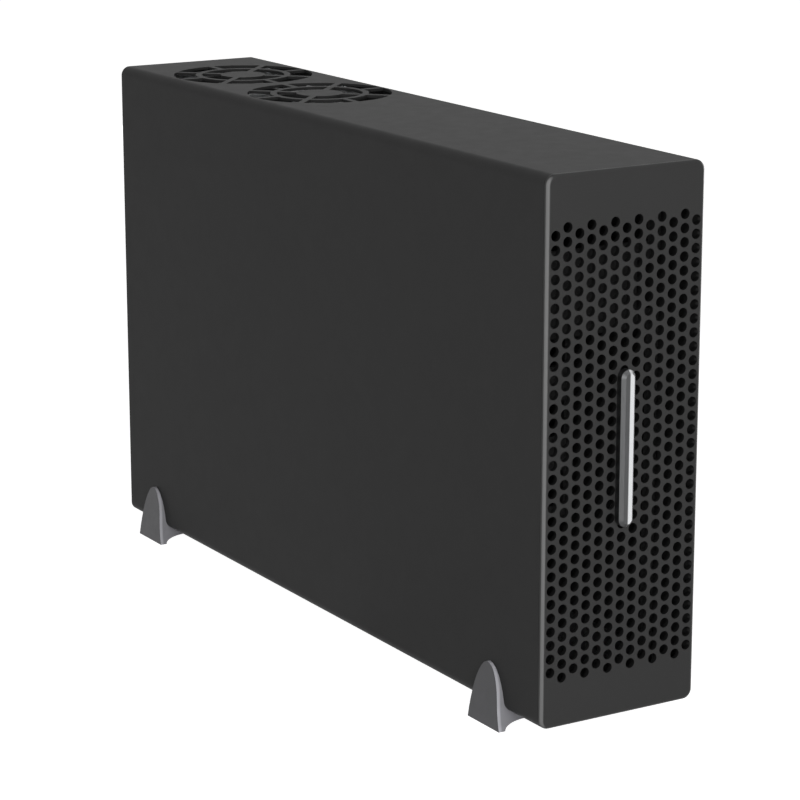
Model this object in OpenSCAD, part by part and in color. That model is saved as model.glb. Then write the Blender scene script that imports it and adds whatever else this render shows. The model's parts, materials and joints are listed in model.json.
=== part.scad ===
// Desktop expansion chassis for plug-in cards: a tall, narrow sleeve on four fin feet
// that holds a slide-out card cage with its backplane, fans and power supply.
// X is across the enclosure, minus Y is the front, Z is up, and the desk is at zero.

/* [Enclosure] */
// Width of the enclosure across its sides
body_w = 89; // [88:0.5:110]
// Height of the enclosure from its underside to its top
body_h = 265; // [262:1:320]
// Depth of the enclosure from its front face to its rear edge
body_d = 436; // [420:1:520]
// Thickness of the outer sleeve's sheet metal
sheet_t = 1.5; // [1:0.1:1.8]
// Outside radius of the four long corners
corner_r = 5; // [4.5:0.25:7]
// Height of the underside above the desk
foot_lift = 8; // [7:0.5:14]

/* [Front bezel] */
// Thickness of the bezel plate
bezel_t = 2.5; // [2.2:0.1:4]
// Radius of the bezel's rounded front edge
bezel_edge_r = 2; // [1:0.1:2]
// Seam between the bezel and the sleeve
seam_gap = 0.3; // [0.2:0.05:0.5]
// Diameter of one air hole
hole_d = 5; // [3.5:0.1:5.2]
// Spacing of the hole columns
col_pitch = 6.6; // [6.2:0.1:9]
// Spacing of the holes in a column
row_pitch = 6.73; // [6.3:0.01:9]
// Least plain margin beside the hole field
field_side = 2.2; // [2:0.1:8]
// Least plain margin above and below the hole field
field_end = 22; // [20:1:50]
// Length of the bosses that carry the bezel
boss_l = 10; // [8:0.5:14]
// Radius of the bezel bosses
boss_r = 3.2; // [2.8:0.1:3.6]
// Height of the bosses in from the top and bottom
boss_in = 11; // [10:0.5:13]
// Distance of the bosses from the middle plane
boss_x = 28; // [20:1:32]

/* [Trim bar] */
// Width of the plain bar on the bezel
bar_w = 8; // [6:0.5:8]
// Length of the plain bar
bar_h = 76; // [70:1:120]
// How far the bar stands out of the bezel
bar_t = 5; // [3.5:0.25:8]
// Bevel round the bar's front edge
bar_bevel = 1.6; // [0.5:0.1:2.5]
// Radius of the two studs that carry the bar
bar_stud_r = 1.5; // [1:0.1:1.9]
// Hole rows between the two studs, an odd number
bar_stud_rows = 9; // [5:2:9]

/* [Top grilles] */
// Outer radius of a grille
grille_r = 39; // [36:0.5:40]
// Outer radius of the ring bar
ring_out_r = 26.7; // [25:0.1:28]
// Inner radius of the ring bar
ring_in_r = 23.2; // [21:0.1:24]
// Radius of the solid centre
grille_hub_r = 12.7; // [10:0.1:16]
// Width of the spokes
spoke_w = 3.5; // [2.5:0.1:5]
// Distance of the rear grille's centre from the rear edge
grille_rear = 65; // [62:0.5:80]
// Distance between the two grille centres
grille_pitch = 87; // [83:0.5:100]

/* [Feet] */
// Height of a fin foot
foot_h = 30.3; // [24:0.1:40]
// Run of the fin's rounded rear edge
fin_rear_run = 10.8; // [8:0.1:14]
// Run of the fin's slanted front edge
fin_front_run = 13.5; // [10:0.1:18]
// Extra spread of the front edge at the desk
fin_flare = 3.4; // [0:0.1:5]
// Distance of the front fins' tips from the front face
foot_front_in = 43.5; // [38:0.5:80]
// Distance of the rear fins' tips from the rear edge
foot_rear_in = 33.3; // [28:0.5:70]
// How far the foot stands out of the side at the desk
foot_base_out = 6; // [5:0.1:9]
// How far the foot stands out of the side at its tip
foot_tip_out = 1.7; // [1.2:0.1:3]
// Width of the tread on the desk
tread_w = 3.8; // [2.5:0.1:5]
// How far the foot's lip reaches under the enclosure
lip_in = 14.5; // [13.5:0.5:22]
// Rise of the arch under the lip
arch_rise = 3.9; // [2.5:0.1:4.5]
// Run of the arch under the lip
arch_run = 12; // [9:0.5:14]
// Seat clearance between a foot and the sleeve
foot_gap = 0.15; // [0.1:0.05:0.3]
// Radius of a foot screw
foot_screw_r = 1.25; // [1:0.05:1.5]
// Distance between the two screws of a foot
foot_screw_span = 12; // [9:0.5:14]
// Distance of the foot screws in from the side
foot_screw_in = 9.5; // [8.5:0.25:10]

/* [Card cage] */
// Thickness of the cage's sheet metal
pan_t = 1.2; // [1:0.1:1.4]
// Running clearance between the cage and the sleeve
slide_gap = 0.3; // [0.2:0.05:0.5]
// Space between the bezel and the cage
front_space = 30; // [28:1:40]
// Height of the pan's low walls
low_wall_h = 14; // [10:0.5:20]
// Thickness of the rear panel
panel_t = 1.2; // [1:0.1:1.6]
// Height of the space over the fan plate
head_room = 3; // [2.8:0.1:4]
// Width of the two long rails beside the top opening
rail_w = 12; // [8:0.5:16]
// Height of the folded edges
fold_h = 10; // [8:0.5:14]

/* [Card slots] */
// Number of card slots
slots = 4; // [4:1:4]
// Spacing of the card slots
slot_pitch = 20.32; // [20:0.01:20.4]
// Width of a slot bracket
bracket_w = 18.42; // [17:0.01:18.8]
// Thickness of a slot bracket
bracket_t = 0.86; // [0.7:0.02:1]
// Height of a slot bracket
bracket_h = 120; // [118:0.5:121]
// Depth of the pocket that the brackets stand in
bay_depth = 12; // [12:0.5:16]
// Thickness of the pocket's sheet
bay_t = 1; // [0.8:0.1:1.2]
// Width of the opening at each slot
slot_open_w = 14; // [12:0.5:15]
// Height of the screw ledge over the backplane
ledge_rise = 112; // [111:0.5:114]
// Offset of a card from the middle of its slot
card_off = 6.5; // [5:0.1:6.8]
// Radius of a slot screw
slot_screw_r = 1.75; // [1.4:0.05:2]

/* [Backplane] */
// Gap between the power supply and the shelf
shelf_gap = 2; // [1.5:0.5:4]
// Height of the standoffs
standoff_h = 8; // [8:0.5:10]
// Thickness of the circuit boards
board_t = 1.6; // [1.4:0.1:1.6]
// Length of the backplane
board_l = 178; // [170:1:190]
// Length of a card connector
conn_l = 89; // [86:1:92]
// Width of a card connector
conn_w = 7.5; // [7:0.1:8]
// Height of a card connector
conn_h = 11.2; // [10:0.1:12]
// Distance of the connectors from the brackets
conn_off = 46; // [44:1:50]
// Length of the controller card
card_l = 167; // [150:1:168]
// Longest card that the cage takes
long_card = 312; // [300:1:315]

/* [Fans] */
// Side of the two top fans
fan_size = 80; // [78:0.5:82]
// Depth of the top fans
fan_t = 25; // [20:1:26]
// Radius of a top fan's air bore
fan_bore_r = 38; // [36:0.5:38.2]
// Radius of a top fan's hub
fan_hub_r = 17; // [15:0.5:19]
// Number of blades
fan_blades = 7; // [5:1:9]
// Spacing of a top fan's screw holes
fan_hole_span = 71.5; // [70:0.5:72]

/* [Power supply] */
// Depth of the power supply
psu_d = 150; // [140:1:160]
// Height of the power supply
psu_h = 40.5; // [38:0.5:44]
// Clearance between the supply and the pan's walls
psu_gap = 0.5; // [0.4:0.1:1]
// Clearance under the supply
psu_lift = 0.8; // [0.8:0.1:0.9]
// Thickness of the supply's sheet
psu_t = 0.8; // [0.7:0.1:1]

/* [Thumbscrews] */
// Radius of a thumbscrew's knurled head
thumb_r = 4.25; // [4:0.25:5.5]
// Height of a thumbscrew's head behind the panel
thumb_out = 9; // [7:0.5:12]
// Radius of a thumbscrew's shank
thumb_shank_r = 1.75; // [1.5:0.05:2]
// Distance of the thumbscrews from the middle plane
thumb_x = 35; // [35:0.5:36.5]
// Radial clearance of a shank in its hole
shank_gap = 0.07; // [0.05:0.01:0.1]

/* [Hidden] */
$fn = 48;
// Overrun of every cut past the face it opens
cut = 1;
// Clearance of a fastener in a hole of its own body
hole_gap = 0.1;

// Planes of the enclosure
half_w = body_w / 2;
y_front = bar_t - (body_d + bar_t + thumb_out) / 2;
y_rear = y_front + body_d;
y_sleeve = y_front + bezel_t + seam_gap;
z_under = foot_lift;
z_top = foot_lift + body_h;
z_mid = foot_lift + body_h / 2;
in_half = half_w - sheet_t;
z_floor = z_under + sheet_t;
z_ceil = z_top - sheet_t;

// Planes of the card cage
tray_half = in_half - slide_gap;
tray_in = tray_half - pan_t;
tray_z = z_floor + slide_gap;
tray_top = tray_z + pan_t;
tray_y = y_front + front_space;
panel_y = y_rear - panel_t;
cage_z1 = z_ceil - slide_gap;
cage_r = corner_r - sheet_t - slide_gap;

// Power supply, shelf and backplane
psu_half = tray_in - psu_gap;
psu_z = tray_top + psu_lift;
psu_z1 = psu_z + psu_h;
psu_y = panel_y - psu_d;
shelf_z = psu_z1 + shelf_gap;
shelf_top = shelf_z + pan_t;
board_z = shelf_top + standoff_h;
board_top = board_z + board_t;

// Slot pocket
slot_gap = 0.15;
bay_side = 0.91;
bay_in = tray_half - bay_t - bay_side;
bay_y = panel_y - bay_depth - bay_t;
ledge_z = board_top + ledge_rise;
tip_z = ledge_z - bracket_h;
bay_z = tip_z + bay_t;
slot_open_z0 = bay_z + 9 * bay_t;
slot_open_z1 = ledge_z - 10 * bay_t;
board_y1 = bay_y - 8 * bay_t;
board_y0 = board_y1 - board_l;
shelf_y0 = board_y0 - 6 * pan_t;
conn_y1 = bay_y - conn_off;
conn_y0 = conn_y1 - conn_l;
card_z = board_top + 3 * bay_t;
card_z1 = ledge_z - 4 * bay_t;

// Fans
fan_rear_y = y_rear - grille_rear;
fan_front_y = fan_rear_y - grille_pitch;
plate_top = z_ceil - head_room;
plate_z = plate_top - pan_t;
fan_z = plate_z - fan_t;

// Thumbscrews and the tabs that take them, between the slot ledge and the fans
tab_t = 1.5;
tab_h = 18;
tab_reach = 12;
thumb_z = (ledge_z + fan_z) / 2;
tab_y1 = panel_y - slide_gap;

function slot_x(i) = (i - (slots + 1) / 2) * slot_pitch;
function card_x(i) = slot_x(i) - card_off;

// Plain helpers

module block(low, high) {
    translate(low) cube(high - low);
}

module rounded(w, h, r) {
    square([w - 2 * r, h], center = true);
    square([w, h - 2 * r], center = true);
    for (x = [-1, 1], y = [-1, 1])
        translate([x * (w / 2 - r), y * (h / 2 - r)]) circle(r = r);
}

// Extrudes an XZ outline from y0 to y1
module along_y(y0, y1) {
    translate([0, y1, 0]) rotate([90, 0, 0]) linear_extrude(height = y1 - y0) children();
}

// Extrudes a YZ outline from x0 to x1
module along_x(x0, x1) {
    translate([x0, 0, 0]) rotate([90, 0, 90]) linear_extrude(height = x1 - x0) children();
}

// Extrudes an XY outline from z0 to z1
module along_z(z0, z1) {
    translate([0, 0, z0]) linear_extrude(height = z1 - z0) children();
}

// Outline of the enclosure in XZ, drawn in by an inset
module body_outline(inset) {
    translate([0, z_mid]) rounded(body_w - 2 * inset, body_h - 2 * inset, corner_r - inset);
}

// Outline of the card cage in XZ
module cage_outline() {
    translate([0, (tray_z + cage_z1) / 2]) rounded(2 * tray_half, cage_z1 - tray_z, cage_r);
}

// Inner outline of the card cage's pan in XZ, drawn in by a gap
module cage_inside(gap) {
    translate([0, (tray_z + cage_z1) / 2])
        rounded(2 * (tray_in - gap), cage_z1 - tray_z - 2 * (pan_t + gap), cage_r - pan_t);
}

// Screw with its head up, seated at zero, with a hexagon socket
module screw(head_r, head_h, shank_r, shank_l) {
    difference() {
        union() {
            cylinder(r = head_r, h = head_h);
            translate([0, 0, -shank_l]) cylinder(r = shank_r, h = shank_l + head_h / 2);
        }
        translate([0, 0, head_h / 2]) cylinder(r = head_r / 2, h = head_h, $fn = 6);
    }
}

// Flush rivet with its head up, seated at zero
module rivet(head_r, head_h, shank_r, grip) {
    cylinder(r1 = head_r, r2 = head_r - head_h, h = head_h);
    translate([0, 0, -grip]) cylinder(r = shank_r, h = grip + head_h / 2);
}

// Outer sleeve

module grille_spokes(n, turn) {
    for (i = [0 : n - 1])
        rotate(turn + i * 360 / n)
            translate([0, -spoke_w / 2]) square([grille_r + cut, spoke_w]);
}

module top_grille() {
    difference() {
        circle(r = grille_r);
        circle(r = ring_out_r);
        grille_spokes(8, 0);
    }
    difference() {
        circle(r = ring_in_r);
        circle(r = grille_hub_r);
        grille_spokes(4, 45);
    }
}

module at_foot_screws() {
    for (sx = [-1, 1], yc = [foot_front_y, foot_rear_y], sy = [-1, 1])
        translate([sx * (half_w - foot_screw_in), yc + sy * foot_screw_span / 2, z_floor])
            children();
}

foot_front_y = y_front + foot_front_in;
foot_rear_y = y_rear - foot_rear_in;
foot_head_r = 2 * foot_screw_r + hole_gap;
foot_head_h = sheet_t * 0.8;

module outer_sleeve() {
    color("#333334") difference() {
        along_y(y_sleeve, y_rear) difference() {
            body_outline(0);
            body_outline(sheet_t);
        }
        for (yc = [fan_front_y, fan_rear_y])
            translate([0, yc, z_ceil - cut]) linear_extrude(height = sheet_t + 2 * cut) top_grille();
        at_foot_screws() {
            translate([0, 0, -sheet_t - cut]) cylinder(r = foot_screw_r + hole_gap, h = sheet_t + 2 * cut);
            translate([0, 0, -foot_head_h])
                cylinder(r1 = foot_screw_r + hole_gap, r2 = foot_head_r + hole_gap, h = foot_head_h);
        }
    }
}

// Front bezel with its perforated field

cols_each_side = floor((half_w - field_side - hole_d / 2) / col_pitch);
hole_rows = 2 * floor((body_h - 2 * field_end) / row_pitch / 2);

module hole_field() {
    for (c = [-cols_each_side : cols_each_side]) {
        n = hole_rows + abs(c) % 2;
        for (k = [0 : n - 1])
            translate([c * col_pitch, z_mid + (k - (n - 1) / 2) * row_pitch]) circle(d = hole_d);
    }
}

// Section of the rim, with zero at the flat front and the rounding outward
module rim_section() {
    intersection() {
        translate([0, bezel_edge_r]) circle(r = bezel_edge_r);
        square([bezel_edge_r, bezel_edge_r]);
    }
    translate([0, bezel_edge_r]) square([bezel_edge_r, bezel_t - bezel_edge_r]);
}

module bezel_rim() {
    rim_r = corner_r - bezel_edge_r;
    cx = half_w - corner_r;
    cz = body_h / 2 - corner_r;
    translate([0, y_front, z_mid]) rotate([-90, 0, 0]) {
        for (a = [0, 180]) rotate(a) {
            translate([cx, cz, 0]) rotate_extrude(angle = 90) translate([rim_r, 0]) rim_section();
            translate([-cx, cz, 0]) rotate(90)
                rotate_extrude(angle = 90) translate([rim_r, 0]) rim_section();
            translate([cx + rim_r, cz, 0]) rotate([90, 0, 0])
                linear_extrude(height = 2 * cz) rim_section();
            rotate(90) translate([cz + rim_r, cx, 0]) rotate([90, 0, 0])
                linear_extrude(height = 2 * cx) rim_section();
        }
    }
}

tongue_t = 1.2;
tongue_l = 7;
tongue_half = half_w - corner_r - bezel_edge_r;

module at_bosses() {
    for (sx = [-1, 1], sz = [-1, 1])
        translate([sx * boss_x, y_front + bezel_t + boss_l, z_mid + sz * (body_h / 2 - boss_in)])
            rotate([-90, 0, 0]) children();
}

bezel_screw_r = 1.25;

module front_bezel() {
    color("#3a3a3b") difference() {
        union() {
            along_y(y_front, y_front + bezel_t) difference() {
                body_outline(bezel_edge_r);
                hole_field();
            }
            bezel_rim();
            for (sz = [-1, 1]) {
                z0 = z_mid + sz * (body_h / 2 - sheet_t - slide_gap);
                z1 = z0 - sz * tongue_t;
                block([-tongue_half, y_front + bezel_t, min(z0, z1)],
                      [tongue_half, y_front + bezel_t + tongue_l, max(z0, z1)]);
            }
            at_bosses() translate([0, 0, -boss_l]) cylinder(r = boss_r, h = boss_l);
        }
        at_bosses() translate([0, 0, -boss_l + hole_gap])
            cylinder(r = bezel_screw_r + hole_gap / 2, h = boss_l + cut);
    }
}

leg_t = 1.5;
leg_foot = 11;
leg_y = y_front + bezel_t + boss_l;
leg_half = boss_x + 2 * boss_r;

// Two angles inside the sleeve that the bezel is screwed to
module bezel_brackets() {
    color("#9a9b9e") difference() {
        for (sz = [-1, 1]) {
            z_wall = z_mid + sz * (body_h / 2 - sheet_t);
            z_leg = z_mid + sz * (body_h / 2 - boss_in - 2 * boss_r);
            z_foot = z_wall - sz * leg_t;
            block([-leg_half, leg_y, min(z_wall, z_leg)],
                  [leg_half, leg_y + leg_t, max(z_wall, z_leg)]);
            block([-leg_half, leg_y, min(z_wall, z_foot)],
                  [leg_half, leg_y + leg_foot, max(z_wall, z_foot)]);
        }
        at_bosses() translate([0, 0, -cut]) cylinder(r = bezel_screw_r + hole_gap, h = leg_t + 2 * cut);
    }
}

module bezel_screws() {
    color("#b9babd")
        at_bosses() translate([0, 0, leg_t])
            screw(2 * bezel_screw_r, bezel_screw_r * 1.4, bezel_screw_r, leg_t + boss_l * 0.7);
}

// Plain bar on the bezel

bar_stud_dz = bar_stud_rows * row_pitch / 2;
nut_r = 3.2;
nut_t = 2.4;
washer_r = 3.7;
washer_t = 0.6;

// Half of the bar's section, from its middle outward
module bar_section() {
    polygon([
        [0, 0], [bar_w / 2, 0], [bar_w / 2, bar_t - bar_bevel],
        [bar_w / 2 - bar_bevel, bar_t], [0, bar_t]
    ]);
}

module trim_bar() {
    run = (bar_h - bar_w) / 2;
    color("#8d8e92") {
        along_z(z_mid - run, z_mid + run) translate([0, y_front]) mirror([0, 1])
            for (s = [0, 1]) mirror([s, 0]) bar_section();
        for (s = [-1, 1]) translate([0, y_front, z_mid + s * run]) rotate([90, 0, 0])
            rotate_extrude() bar_section();
        for (s = [-1, 1]) translate([0, y_front, z_mid + s * bar_stud_dz]) rotate([-90, 0, 0])
            translate([0, 0, -bar_bevel])
                cylinder(r = bar_stud_r, h = bar_bevel + bezel_t + washer_t + nut_t + bar_stud_r);
    }
}

module trim_bar_nuts() {
    color("#b9babd")
        for (s = [-1, 1]) translate([0, y_front + bezel_t, z_mid + s * bar_stud_dz]) rotate([-90, 0, 0])
            difference() {
                union() {
                    cylinder(r = washer_r, h = washer_t);
                    translate([0, 0, washer_t]) cylinder(r = nut_r, h = nut_t, $fn = 6);
                }
                translate([0, 0, -cut])
                    cylinder(r = bar_stud_r + hole_gap / 2, h = washer_t + nut_t + 2 * cut);
            }
}

// Fin feet

flare_share = 0.45;
fin_steps = 10;

// Outline of the fin in YZ: a quarter ellipse behind the tip and a flared one before it
function fin_outline() = concat(
    [for (i = [0 : fin_steps]) let (a = 90 * i / fin_steps)
        [fin_rear_run * cos(a), foot_h * sin(a)]],
    [for (i = [1 : fin_steps]) let (
            a = 90 + 90 * i / fin_steps,
            z = foot_h * sin(a),
            low = max(0, 1 - z / (foot_h * flare_share)))
        [fin_front_run * cos(a) - fin_flare * low * low, z]]
);

// Section of the foot in XZ, for the side at minus X
function foot_section() = concat(
    [[-half_w - foot_tip_out, foot_h], [-half_w - foot_base_out, 0],
     [-half_w - foot_base_out + tread_w, 0]],
    [for (i = [1 : fin_steps]) let (a = 90 * i / fin_steps)
        [-half_w - foot_base_out + tread_w + arch_run * (1 - cos(a)), arch_rise * sin(a)]],
    [[-half_w + lip_in, arch_rise], [-half_w + lip_in, foot_h]]
);

module foot() {
    reach = fin_front_run + fin_flare;
    difference() {
        intersection() {
            along_y(-reach, fin_rear_run) difference() {
                polygon(foot_section());
                body_outline(-foot_gap);
            }
            along_x(-half_w - foot_base_out, -half_w + lip_in) polygon(fin_outline());
        }
        for (s = [-1, 1])
            translate([-half_w + foot_screw_in, s * foot_screw_span / 2, arch_rise + hole_gap])
                translate([0, 0, foot_screw_r / 2])
                    cylinder(r = foot_screw_r + hole_gap / 2, h = foot_lift);
    }
}

module foot_front_left() { color("#6a6a70") translate([0, foot_front_y, 0]) foot(); }
module foot_rear_left() { color("#6a6a70") translate([0, foot_rear_y, 0]) foot(); }
module foot_front_right() {
    color("#6a6a70") translate([0, foot_front_y, 0]) mirror([1, 0, 0]) foot();
}
module foot_rear_right() {
    color("#6a6a70") translate([0, foot_rear_y, 0]) mirror([1, 0, 0]) foot();
}

module foot_screws() {
    shank = z_floor - arch_rise - foot_screw_r;
    color("#b9babd") at_foot_screws() difference() {
        union() {
            translate([0, 0, -foot_head_h])
                cylinder(r1 = foot_screw_r, r2 = foot_head_r, h = foot_head_h);
            translate([0, 0, -shank]) cylinder(r = foot_screw_r, h = shank - foot_head_h / 2);
        }
        translate([0, 0, -foot_head_h / 2]) cylinder(r = foot_screw_r, h = foot_head_h, $fn = 6);
    }
}

// Threaded tabs on the sleeve's inner sides for the thumbscrews
module sleeve_tabs() {
    boss = 2 * tab_t;
    color("#9a9b9e") for (s = [-1, 1]) difference() {
        union() {
            block([min(s * in_half, s * (in_half - tab_reach)), tab_y1 - tab_t, thumb_z - tab_h / 2],
                  [max(s * in_half, s * (in_half - tab_reach)), tab_y1, thumb_z + tab_h / 2]);
            block([min(s * in_half, s * (in_half - tab_t)), tab_y1 - tab_reach, thumb_z - tab_h / 2],
                  [max(s * in_half, s * (in_half - tab_t)), tab_y1, thumb_z + tab_h / 2]);
            translate([s * thumb_x, tab_y1 - tab_t, thumb_z]) rotate([90, 0, 0])
                cylinder(r = 2 * thumb_shank_r, h = boss);
        }
        translate([s * thumb_x, tab_y1 + cut, thumb_z]) rotate([90, 0, 0])
            cylinder(r = thumb_shank_r + shank_gap, h = tab_t + boss + 2 * cut);
    }
}

// Card cage: pan, rear panel, slot pocket, front frame and top frame

rivet_r = 1.2;
rivet_head_r = 2.2;
rivet_head_h = 0.7;
tall_wall_z = shelf_top + standoff_h * 0.7;

module at_shelf_rivets() {
    for (s = [-1, 1], k = [0 : 2])
        translate([s * tray_half, shelf_y0 + (k + 0.5) * (bay_y - shelf_y0) / 3,
            shelf_top + standoff_h * 0.35]) rotate([0, -s * 90, 0]) children();
}

module at_floor_rivets() {
    for (s = [-1, 0, 1], y = [tray_y + fold_h * 0.6, panel_y - fold_h * 0.6])
        if (y < psu_y) translate([s * boss_x, y, tray_top + pan_t]) children();
}

module at_panel_rivets() {
    for (s = [-1, 0, 1])
        translate([s * boss_x, y_rear, plate_z - fold_h * 0.5]) rotate([-90, 0, 0]) children();
}

module at_front_rivets() {
    for (s = [-1, 1])
        translate([s * (tray_half - rail_w / 2), tray_y + fold_h * 0.5, plate_top]) children();
}

module tray_pan() {
    color("#a3a5a8") difference() {
        intersection() {
            along_y(tray_y, panel_y) difference() {
                cage_outline();
                cage_inside(0);
            }
            union() {
                block([-body_w, tray_y, 0], [body_w, panel_y, tray_z + low_wall_h]);
                block([-body_w, shelf_y0, 0], [body_w, bay_y - toe_depth - slot_gap, tall_wall_z]);
                block([-body_w, shelf_y0, 0], [body_w, panel_y, shelf_z]);
            }
        }
        at_floor_rivets() translate([0, 0, -2 * pan_t - cut])
            cylinder(r = rivet_r + hole_gap / 2, h = 2 * pan_t + 2 * cut);
        at_shelf_rivets() translate([0, 0, -cut])
            cylinder(r = rivet_r + hole_gap / 2, h = pan_t + 2 * cut);
    }
}

vent_d = 4.5;
vent_pitch = 8;
vent_cols_each_side = 3;
vent_rows = 7;
psu_edge = 1.5;
psu_side = 5.2;

// Openings of the rear panel in XZ
module panel_openings() {
    translate([-bay_in, bay_z]) square([2 * bay_in, ledge_z - bay_t - bay_z]);
    translate([-psu_half + psu_side, psu_z + psu_edge])
        square([2 * (psu_half - psu_side), psu_h - 2 * psu_edge]);
    for (i = [-vent_cols_each_side : vent_cols_each_side], k = [0 : vent_rows - 1])
        translate([i * vent_pitch, thumb_z + (k - (vent_rows - 2) / 2) * vent_pitch]) circle(d = vent_d);
}

module at_thumbscrews() {
    for (s = [-1, 1]) translate([s * thumb_x, y_rear, thumb_z]) rotate([-90, 0, 0]) children();
}

psu_screw_r = 1.5;

module at_psu_screws() {
    x = psu_half - psu_side / 2 + hole_gap;
    for (p = [[-x, psu_z + psu_h * 0.12], [-x, psu_z + psu_h * 0.88], [x, psu_z + psu_h * 0.12],
              [x, psu_z + psu_h * 0.88]])
        translate([p[0], y_rear, p[1]]) rotate([-90, 0, 0]) children();
}

module rear_panel() {
    color("#8f9194") difference() {
        along_y(panel_y, y_rear) difference() {
            cage_outline();
            panel_openings();
        }
        at_thumbscrews() translate([0, 0, -panel_t - cut])
            cylinder(r = thumb_shank_r + 4 * shank_gap, h = panel_t + 2 * cut);
        at_psu_screws() translate([0, 0, -panel_t - cut])
            cylinder(r = psu_screw_r + hole_gap, h = panel_t + 2 * cut);
        at_panel_rivets() translate([0, 0, -panel_t - cut])
            cylinder(r = rivet_r + hole_gap / 2, h = panel_t + 2 * cut);
    }
}

tongue_w = 10.5;
toe_t = 1;
toe_depth = 5;

module at_slot_screws() {
    for (i = [1 : slots])
        translate([slot_x(i), bay_y + bay_t + bay_depth * 0.45, ledge_z + bracket_t]) children();
}

// Pocket that the slot brackets stand in, with its ledge, openings and toe plate
module slot_bay() {
    color("#a3a5a8") difference() {
        union() {
            block([-bay_in - bay_t, bay_y, bay_z - bay_t], [bay_in + bay_t, bay_y + bay_t, ledge_z]);
            block([-bay_in - bay_t, bay_y, ledge_z - bay_t], [bay_in + bay_t, panel_y, ledge_z]);
            block([-bay_in - bay_t, bay_y, bay_z - bay_t], [bay_in + bay_t, panel_y, bay_z]);
            for (s = [-1, 1]) {
                x0 = s * bay_in;
                x1 = s * (bay_in + bay_t);
                block([min(x0, x1), bay_y, bay_z - bay_t], [max(x0, x1), panel_y, ledge_z]);
            }
            block([-bay_in - bay_t, bay_y - toe_depth, bay_z + toe_t],
                  [bay_in + bay_t, bay_y, bay_z + 2 * toe_t]);
        }
        for (i = [1 : slots]) {
            block([slot_x(i) - slot_open_w / 2, bay_y - cut, slot_open_z0],
                  [slot_x(i) + slot_open_w / 2, bay_y + bay_t + cut, slot_open_z1]);
            block([slot_x(i) - tongue_w / 2 - slot_gap, bay_y - bracket_t - 2 * slot_gap, bay_z],
                  [slot_x(i) + tongue_w / 2 + slot_gap, bay_y, bay_z + 2 * toe_t + cut]);
        }
        at_slot_screws() translate([0, 0, -bracket_t - bay_t - cut])
            cylinder(r = slot_screw_r + hole_gap / 2, h = bay_t + bracket_t + 2 * cut);
    }
}

notch_gap = 3;
window_side = 9;
cross_h = tab_h / 2 + 4 * notch_gap;

// Sheet frame at the cage's front, notched to pass the sleeve's tabs
module front_frame() {
    window_half = tray_half - window_side;
    color("#a3a5a8") difference() {
        union() {
            along_y(tray_y, tray_y + pan_t) difference() {
                intersection() {
                    cage_inside(slot_gap);
                    translate([-body_w, 0]) square([2 * body_w, plate_z]);
                }
                translate([-window_half, tray_top + low_wall_h])
                    square([2 * window_half, thumb_z - cross_h - tray_top - low_wall_h]);
                translate([-window_half, thumb_z + cross_h])
                    square([2 * window_half, plate_z - fold_h - thumb_z - cross_h]);
            }
            block([-tray_in + cage_r, tray_y, tray_top],
                  [tray_in - cage_r, tray_y + fold_h, tray_top + pan_t]);
            block([-tray_half + rail_w / 4, tray_y, plate_z - pan_t],
                  [tray_half - rail_w / 4, tray_y + fold_h, plate_z]);
        }
        for (s = [-1, 1]) {
            x0 = s * (in_half - tab_reach - notch_gap);
            x1 = s * body_w;
            block([min(x0, x1), tray_y - cut, thumb_z - tab_h / 2 - notch_gap],
                  [max(x0, x1), tray_y + pan_t + cut, thumb_z + tab_h / 2 + notch_gap]);
        }
        at_floor_rivets() translate([0, 0, -2 * pan_t - cut])
            cylinder(r = rivet_r + hole_gap / 2, h = 2 * pan_t + 2 * cut);
        at_front_rivets() translate([0, 0, -2 * pan_t - cut])
            cylinder(r = rivet_r + hole_gap / 2, h = 2 * pan_t + 2 * cut);
    }
}

plate_y0 = fan_front_y - fan_size / 2 - fold_h;

module at_fan_holes() {
    for (yc = [fan_front_y, fan_rear_y], sx = [-1, 1], sy = [-1, 1])
        translate([sx * fan_hole_span / 2, yc + sy * fan_hole_span / 2, plate_top]) children();
}

fan_hole_r = 2.15;
fan_screw_r = 2;

// Fan plate over the cage, with two long rails that reach the front frame
module top_frame() {
    color("#a3a5a8") difference() {
        intersection() {
            union() {
                along_z(plate_z, plate_top) difference() {
                    translate([-tray_half, tray_y]) square([2 * tray_half, panel_y - tray_y]);
                    translate([-tray_half + rail_w, tray_y + fold_h])
                        square([2 * (tray_half - rail_w), plate_y0 - tray_y - fold_h]);
                    for (yc = [fan_front_y, fan_rear_y]) translate([0, yc]) circle(r = fan_bore_r + pan_t);
                }
                for (s = [-1, 1]) {
                    x0 = s * tray_half;
                    x1 = s * (tray_half - pan_t);
                    block([min(x0, x1), tray_y + 2 * fold_h, plate_z - fold_h],
                          [max(x0, x1), panel_y, plate_top]);
                }
                block([-tray_half, panel_y - pan_t, plate_z - fold_h], [tray_half, panel_y, plate_top]);
            }
            along_y(tray_y, panel_y) cage_outline();
        }
        at_fan_holes() translate([0, 0, -pan_t - cut])
            cylinder(r = fan_hole_r, h = pan_t + 2 * cut);
        at_front_rivets() translate([0, 0, -pan_t - cut])
            cylinder(r = rivet_r + hole_gap / 2, h = pan_t + 2 * cut);
        at_panel_rivets() translate([0, 0, -panel_t - pan_t - cut])
            cylinder(r = rivet_r + hole_gap / 2, h = panel_t + pan_t + 2 * cut);
    }
}

module frame_rivets() {
    color("#b9babd") {
        at_floor_rivets() rivet(rivet_head_r, rivet_head_h, rivet_r, 2 * pan_t);
        at_front_rivets() rivet(rivet_head_r, rivet_head_h, rivet_r, 2 * pan_t);
        at_panel_rivets() rivet(rivet_head_r, rivet_head_h, rivet_r, panel_t + pan_t);
        at_shelf_rivets() translate([0, 0, 2 * pan_t])
            rivet(rivet_head_r, rivet_head_h, rivet_r, 2 * pan_t);
    }
}

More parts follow.
